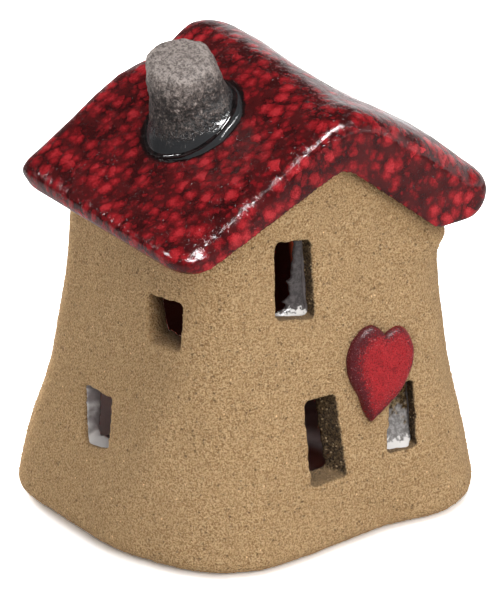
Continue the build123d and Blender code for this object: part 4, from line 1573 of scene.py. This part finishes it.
def grain_tree():
    """Nodes that stand small clay grains on the outer faces, and their inputs by name."""
    tree = bpy.data.node_groups.new("clay_grains", "GeometryNodeTree")
    tree.interface.new_socket("Geometry", in_out="INPUT", socket_type="NodeSocketGeometry")
    tree.interface.new_socket("Geometry", in_out="OUTPUT", socket_type="NodeSocketGeometry")
    sockets = {}
    for name, kind in (("Density", "Float"), ("Radius", "Float"), ("Seed", "Int"), ("Finish", "Material")):
        made = tree.interface.new_socket(name, in_out="INPUT", socket_type="NodeSocket" + kind)
        sockets[name] = made.identifier

    nodes = Nodes(tree)
    given = nodes.node("NodeGroupInput").outputs
    depth = nodes.node("GeometryNodeInputNamedAttribute", {"Name": "depth"}, data_type="FLOAT")
    outer = nodes.node(
        "FunctionNodeCompare",
        {"A": depth.outputs["Attribute"], "B": 0.03},
        data_type="FLOAT",
        operation="LESS_THAN",
    )
    scatter = nodes.node(
        "GeometryNodeDistributePointsOnFaces",
        {
            "Mesh": given["Geometry"],
            "Selection": outer.outputs["Result"],
            "Density": given["Density"],
            "Seed": given["Seed"],
        },
        distribute_method="RANDOM",
    )

    def random_value(kind, socket_type, least, most):
        made = nodes.node("FunctionNodeRandomValue", data_type=kind)
        limits = [socket for socket in made.inputs if socket.type == socket_type]
        nodes.feed(limits[0], least)
        nodes.feed(limits[1], most)
        return [socket for socket in made.outputs if socket.type == socket_type][0]

    radius = given["Radius"]
    ball = nodes.node("GeometryNodeMeshIcoSphere", {"Subdivisions": 1})
    stood = nodes.node(
        "GeometryNodeInstanceOnPoints",
        {
            "Points": scatter.outputs["Points"],
            "Instance": ball.outputs["Mesh"],
            "Rotation": random_value("FLOAT_VECTOR", "VECTOR", (0, 0, 0), (6.28, 6.28, 6.28)),
            "Scale": random_value("FLOAT", "VALUE", nodes.times(radius, 0.55), nodes.times(radius, 1.45)),
        },
    )
    real = nodes.node("GeometryNodeRealizeInstances", {"Geometry": stood.outputs["Instances"]})
    coated = {"Geometry": real.outputs["Geometry"], "Material": given["Finish"]}
    coated = nodes.node("GeometryNodeSetMaterial", coated)
    nodes.node("NodeGroupOutput", {"Geometry": coated.outputs["Geometry"]})
    return tree, sockets


class GrainsOperator(bpy.types.Operator):
    """Scatter the coarser grog grains that stand out of the outer clay"""

    bl_idname = "tealight_house.grains"
    bl_label = "Clay grains"

    def execute(self, context):
        settings = context.scene.house_clay
        tree, sockets = grain_tree()
        grains = bpy.data.objects.new("clay_grains", built_piece("walls").data.copy())
        context.scene.collection.objects.link(grains)
        step = grains.modifiers.new("grains", "NODES")
        step.node_group = tree
        step[sockets["Density"]] = settings.grain_count
        step[sockets["Radius"]] = settings.grain_size
        step[sockets["Seed"]] = settings.seed
        step[sockets["Finish"]] = grain_finish(settings)
        freeze(grains)
        points = points_of(grains)
        points[:, 2] = np.maximum(points[:, 2], 0.0)
        move_points(grains, points)
        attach(grains, "house")
        return {"FINISHED"}


class RunsOperator(bpy.types.Operator):
    """Lay the grey glaze that ran down two of the front windows, pale at the foot partly as pooled glaze and
    partly as a painted highlight
    """

    bl_idname = "tealight_house.runs"
    bl_label = "Glaze runs"

    def execute(self, context):
        material = run_finish(context.scene.house_clay)
        upper = run_of_glaze("upper_window_run", UPPER_RUN, 0.0)
        right = run_of_glaze("right_window_run", RIGHT_RUN, 1.0)
        for piece in (upper, right):
            put_finish(piece, material)
            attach(piece, "house")
        return {"FINISHED"}


class RoofOperator(bpy.types.Operator):
    """Build the draped roof slab under its flowing red glaze"""

    bl_idname = "tealight_house.roof"
    bl_label = "Roof"

    def execute(self, context):
        roof = roof_form()
        cut_away(roof, [prism_across("cut_under_roof", HOLLOW, HOLLOW_ENDS)])
        remeshed(roof, ROOF_GRID, ROOF_SMOOTHING)
        points, normals = points_of(roof), normals_of(roof)
        top = np.clip((normals[:, 2] + 0.2) / 0.5, 0, 1)
        raised = lumps(points, ROOF_LUMPS) - LUMPS_SUNK + slope_crown(points)
        points = points + normals * (raised * top)[:, None]
        move_points(roof, points)
        store(roof, from_chimney=from_chimney(points), ceiling=is_ceiling(points, normals))
        put_finish(roof, roof_finish(context.scene.house_glaze, context.scene.house_clay.inside_brown))
        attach(roof, "house")
        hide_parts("roof")
        return {"FINISHED"}


class ChimneyOperator(bpy.types.Operator):
    """Build the solid chimney stub and the black glaze pooled round its foot"""

    bl_idname = "tealight_house.chimney"
    bl_label = "Chimney"

    def execute(self, context):
        roof = built_piece("roof_slab")
        chimney = chimney_form()
        put_finish(chimney, chimney_finish(context.scene.house_glaze))
        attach(chimney, "house")
        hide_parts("chimney")
        pool = pool_form(roof, chimney)
        put_finish(pool, pool_finish())
        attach(pool, "house")
        return {"FINISHED"}


class HeartOperator(bpy.types.Operator):
    """Build the pillowed heart pressed onto the front wall"""

    bl_idname = "tealight_house.heart"
    bl_label = "Heart"

    def execute(self, context):
        heart = heart_form()
        put_finish(heart, heart_finish(context.scene.house_glaze))
        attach(heart, "house")
        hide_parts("heart")
        return {"FINISHED"}


class TealightOperator(bpy.types.Operator):
    """Finish the tealight: pressed cup, wax, sustainer and wick"""

    bl_idname = "tealight_house.tealight"
    bl_label = "Tealight"

    def execute(self, context):
        nodes = frame["nodes"]
        put_finish(nodes["tealight_cup"], metal_finish("cup_metal", CUP_METAL, 0.32))
        put_finish(nodes["wick_sustainer"], metal_finish("sustainer_metal", SUSTAINER_METAL, 0.4))
        put_finish(nodes["tealight_wax"], wax_finish(context.scene.house_glaze.wax_colour))
        put_finish(nodes["wick"], wick_finish())
        return {"FINISHED"}


def place_on_stage(name, data, place, aim=None):
    """Puts a lamp or camera at its place, turned towards its aim."""
    obj = bpy.data.objects.new(name, data)
    obj.location = place
    if aim is not None:
        obj.rotation_euler = (Vector(aim) - Vector(place)).to_track_quat("-Z", "Y").to_euler()
    bpy.context.scene.collection.objects.link(obj)
    return obj


def area_lamp(name, place, aim, size, power):
    data = bpy.data.lights.new(name, "AREA")
    data.shape = "RECTANGLE"
    data.size, data.size_y = size
    data.energy = power
    return place_on_stage(name, data, place, aim)


class StageOperator(bpy.types.Operator):
    """Set up the pale floor, the soft studio light and the camera"""

    bl_idname = "tealight_house.stage"
    bl_label = "Stage"

    def execute(self, context):
        settings = context.scene.house_stage
        scene = context.scene
        data = bpy.data.cameras.new("camera")
        data.sensor_fit = "HORIZONTAL"
        data.sensor_width = SENSOR_WIDTH
        data.lens = settings.lens
        data.clip_start, data.clip_end = CAMERA_CLIP
        scene.camera = place_on_stage("camera", data, CAMERA_PLACE, CAMERA_AIM)

        inside = bpy.data.lights.new("room_fill", "POINT")
        inside.energy = settings.inside_power
        inside.shadow_soft_size = ROOM_FILL_RADIUS
        room = place_on_stage("room_fill", inside, ROOM_FILL_PLACE)
        room.visible_camera = room.visible_glossy = False
        powers = (settings.key_power, settings.top_power, settings.back_power)
        for lamp, power in zip((KEY_LAMP, TOP_LAMP, BACK_LAMP), powers):
            area_lamp(*lamp, power).visible_glossy = False
        for glint in GLINTS:
            area_lamp(*glint).visible_diffuse = False
        scene.world = studio_world(settings)

        angles = np.linspace(0, 2 * math.pi, STAGE_CORNERS, endpoint=False)
        level = np.full(STAGE_CORNERS, -STAGE_DROP)
        disc = np.stack([STAGE_RADIUS * np.cos(angles), STAGE_RADIUS * np.sin(angles), level], axis=1)
        floor = new_piece("stage_floor", disc, [range(STAGE_CORNERS)])
        put_finish(floor, stage_floor_finish())
        scene.view_settings.view_transform = "Standard"
        return {"FINISHED"}


OPERATORS = (
    WallsOperator,
    GrainsOperator,
    RunsOperator,
    RoofOperator,
    ChimneyOperator,
    HeartOperator,
    TealightOperator,
    StageOperator,
)
GROUPS = {"house_clay": ClaySettings, "house_glaze": GlazeSettings, "house_stage": StageSettings}


class HousePanel(bpy.types.Panel):
    """Lists the steps that build the tealight house"""

    bl_idname = "VIEW3D_PT_tealight_house"
    bl_label = "Tealight house"
    bl_space_type = "VIEW_3D"
    bl_region_type = "UI"
    bl_category = "Tealight house"

    def draw(self, context):
        for operator in OPERATORS:
            self.layout.operator(operator.bl_idname)
        for group, made in GROUPS.items():
            box = self.layout.box()
            for key in made.__annotations__:
                box.prop(getattr(context.scene, group), key)


CLASSES = (*GROUPS.values(), *OPERATORS, HousePanel)


def register():
    for made in CLASSES:
        bpy.utils.register_class(made)
    for group, made in GROUPS.items():
        setattr(bpy.types.Scene, group, bpy.props.PointerProperty(type=made))


def unregister():
    for group in GROUPS:
        delattr(bpy.types.Scene, group)
    for made in reversed(CLASSES):
        bpy.utils.unregister_class(made)


def main():
    register()
    bpy.ops.tealight_house.walls()
    bpy.ops.tealight_house.grains()
    bpy.ops.tealight_house.runs()
    bpy.ops.tealight_house.roof()
    bpy.ops.tealight_house.chimney()
    bpy.ops.tealight_house.heart()
    bpy.ops.tealight_house.tealight()
    bpy.ops.tealight_house.stage()


if __name__ == "__main__":
    main()
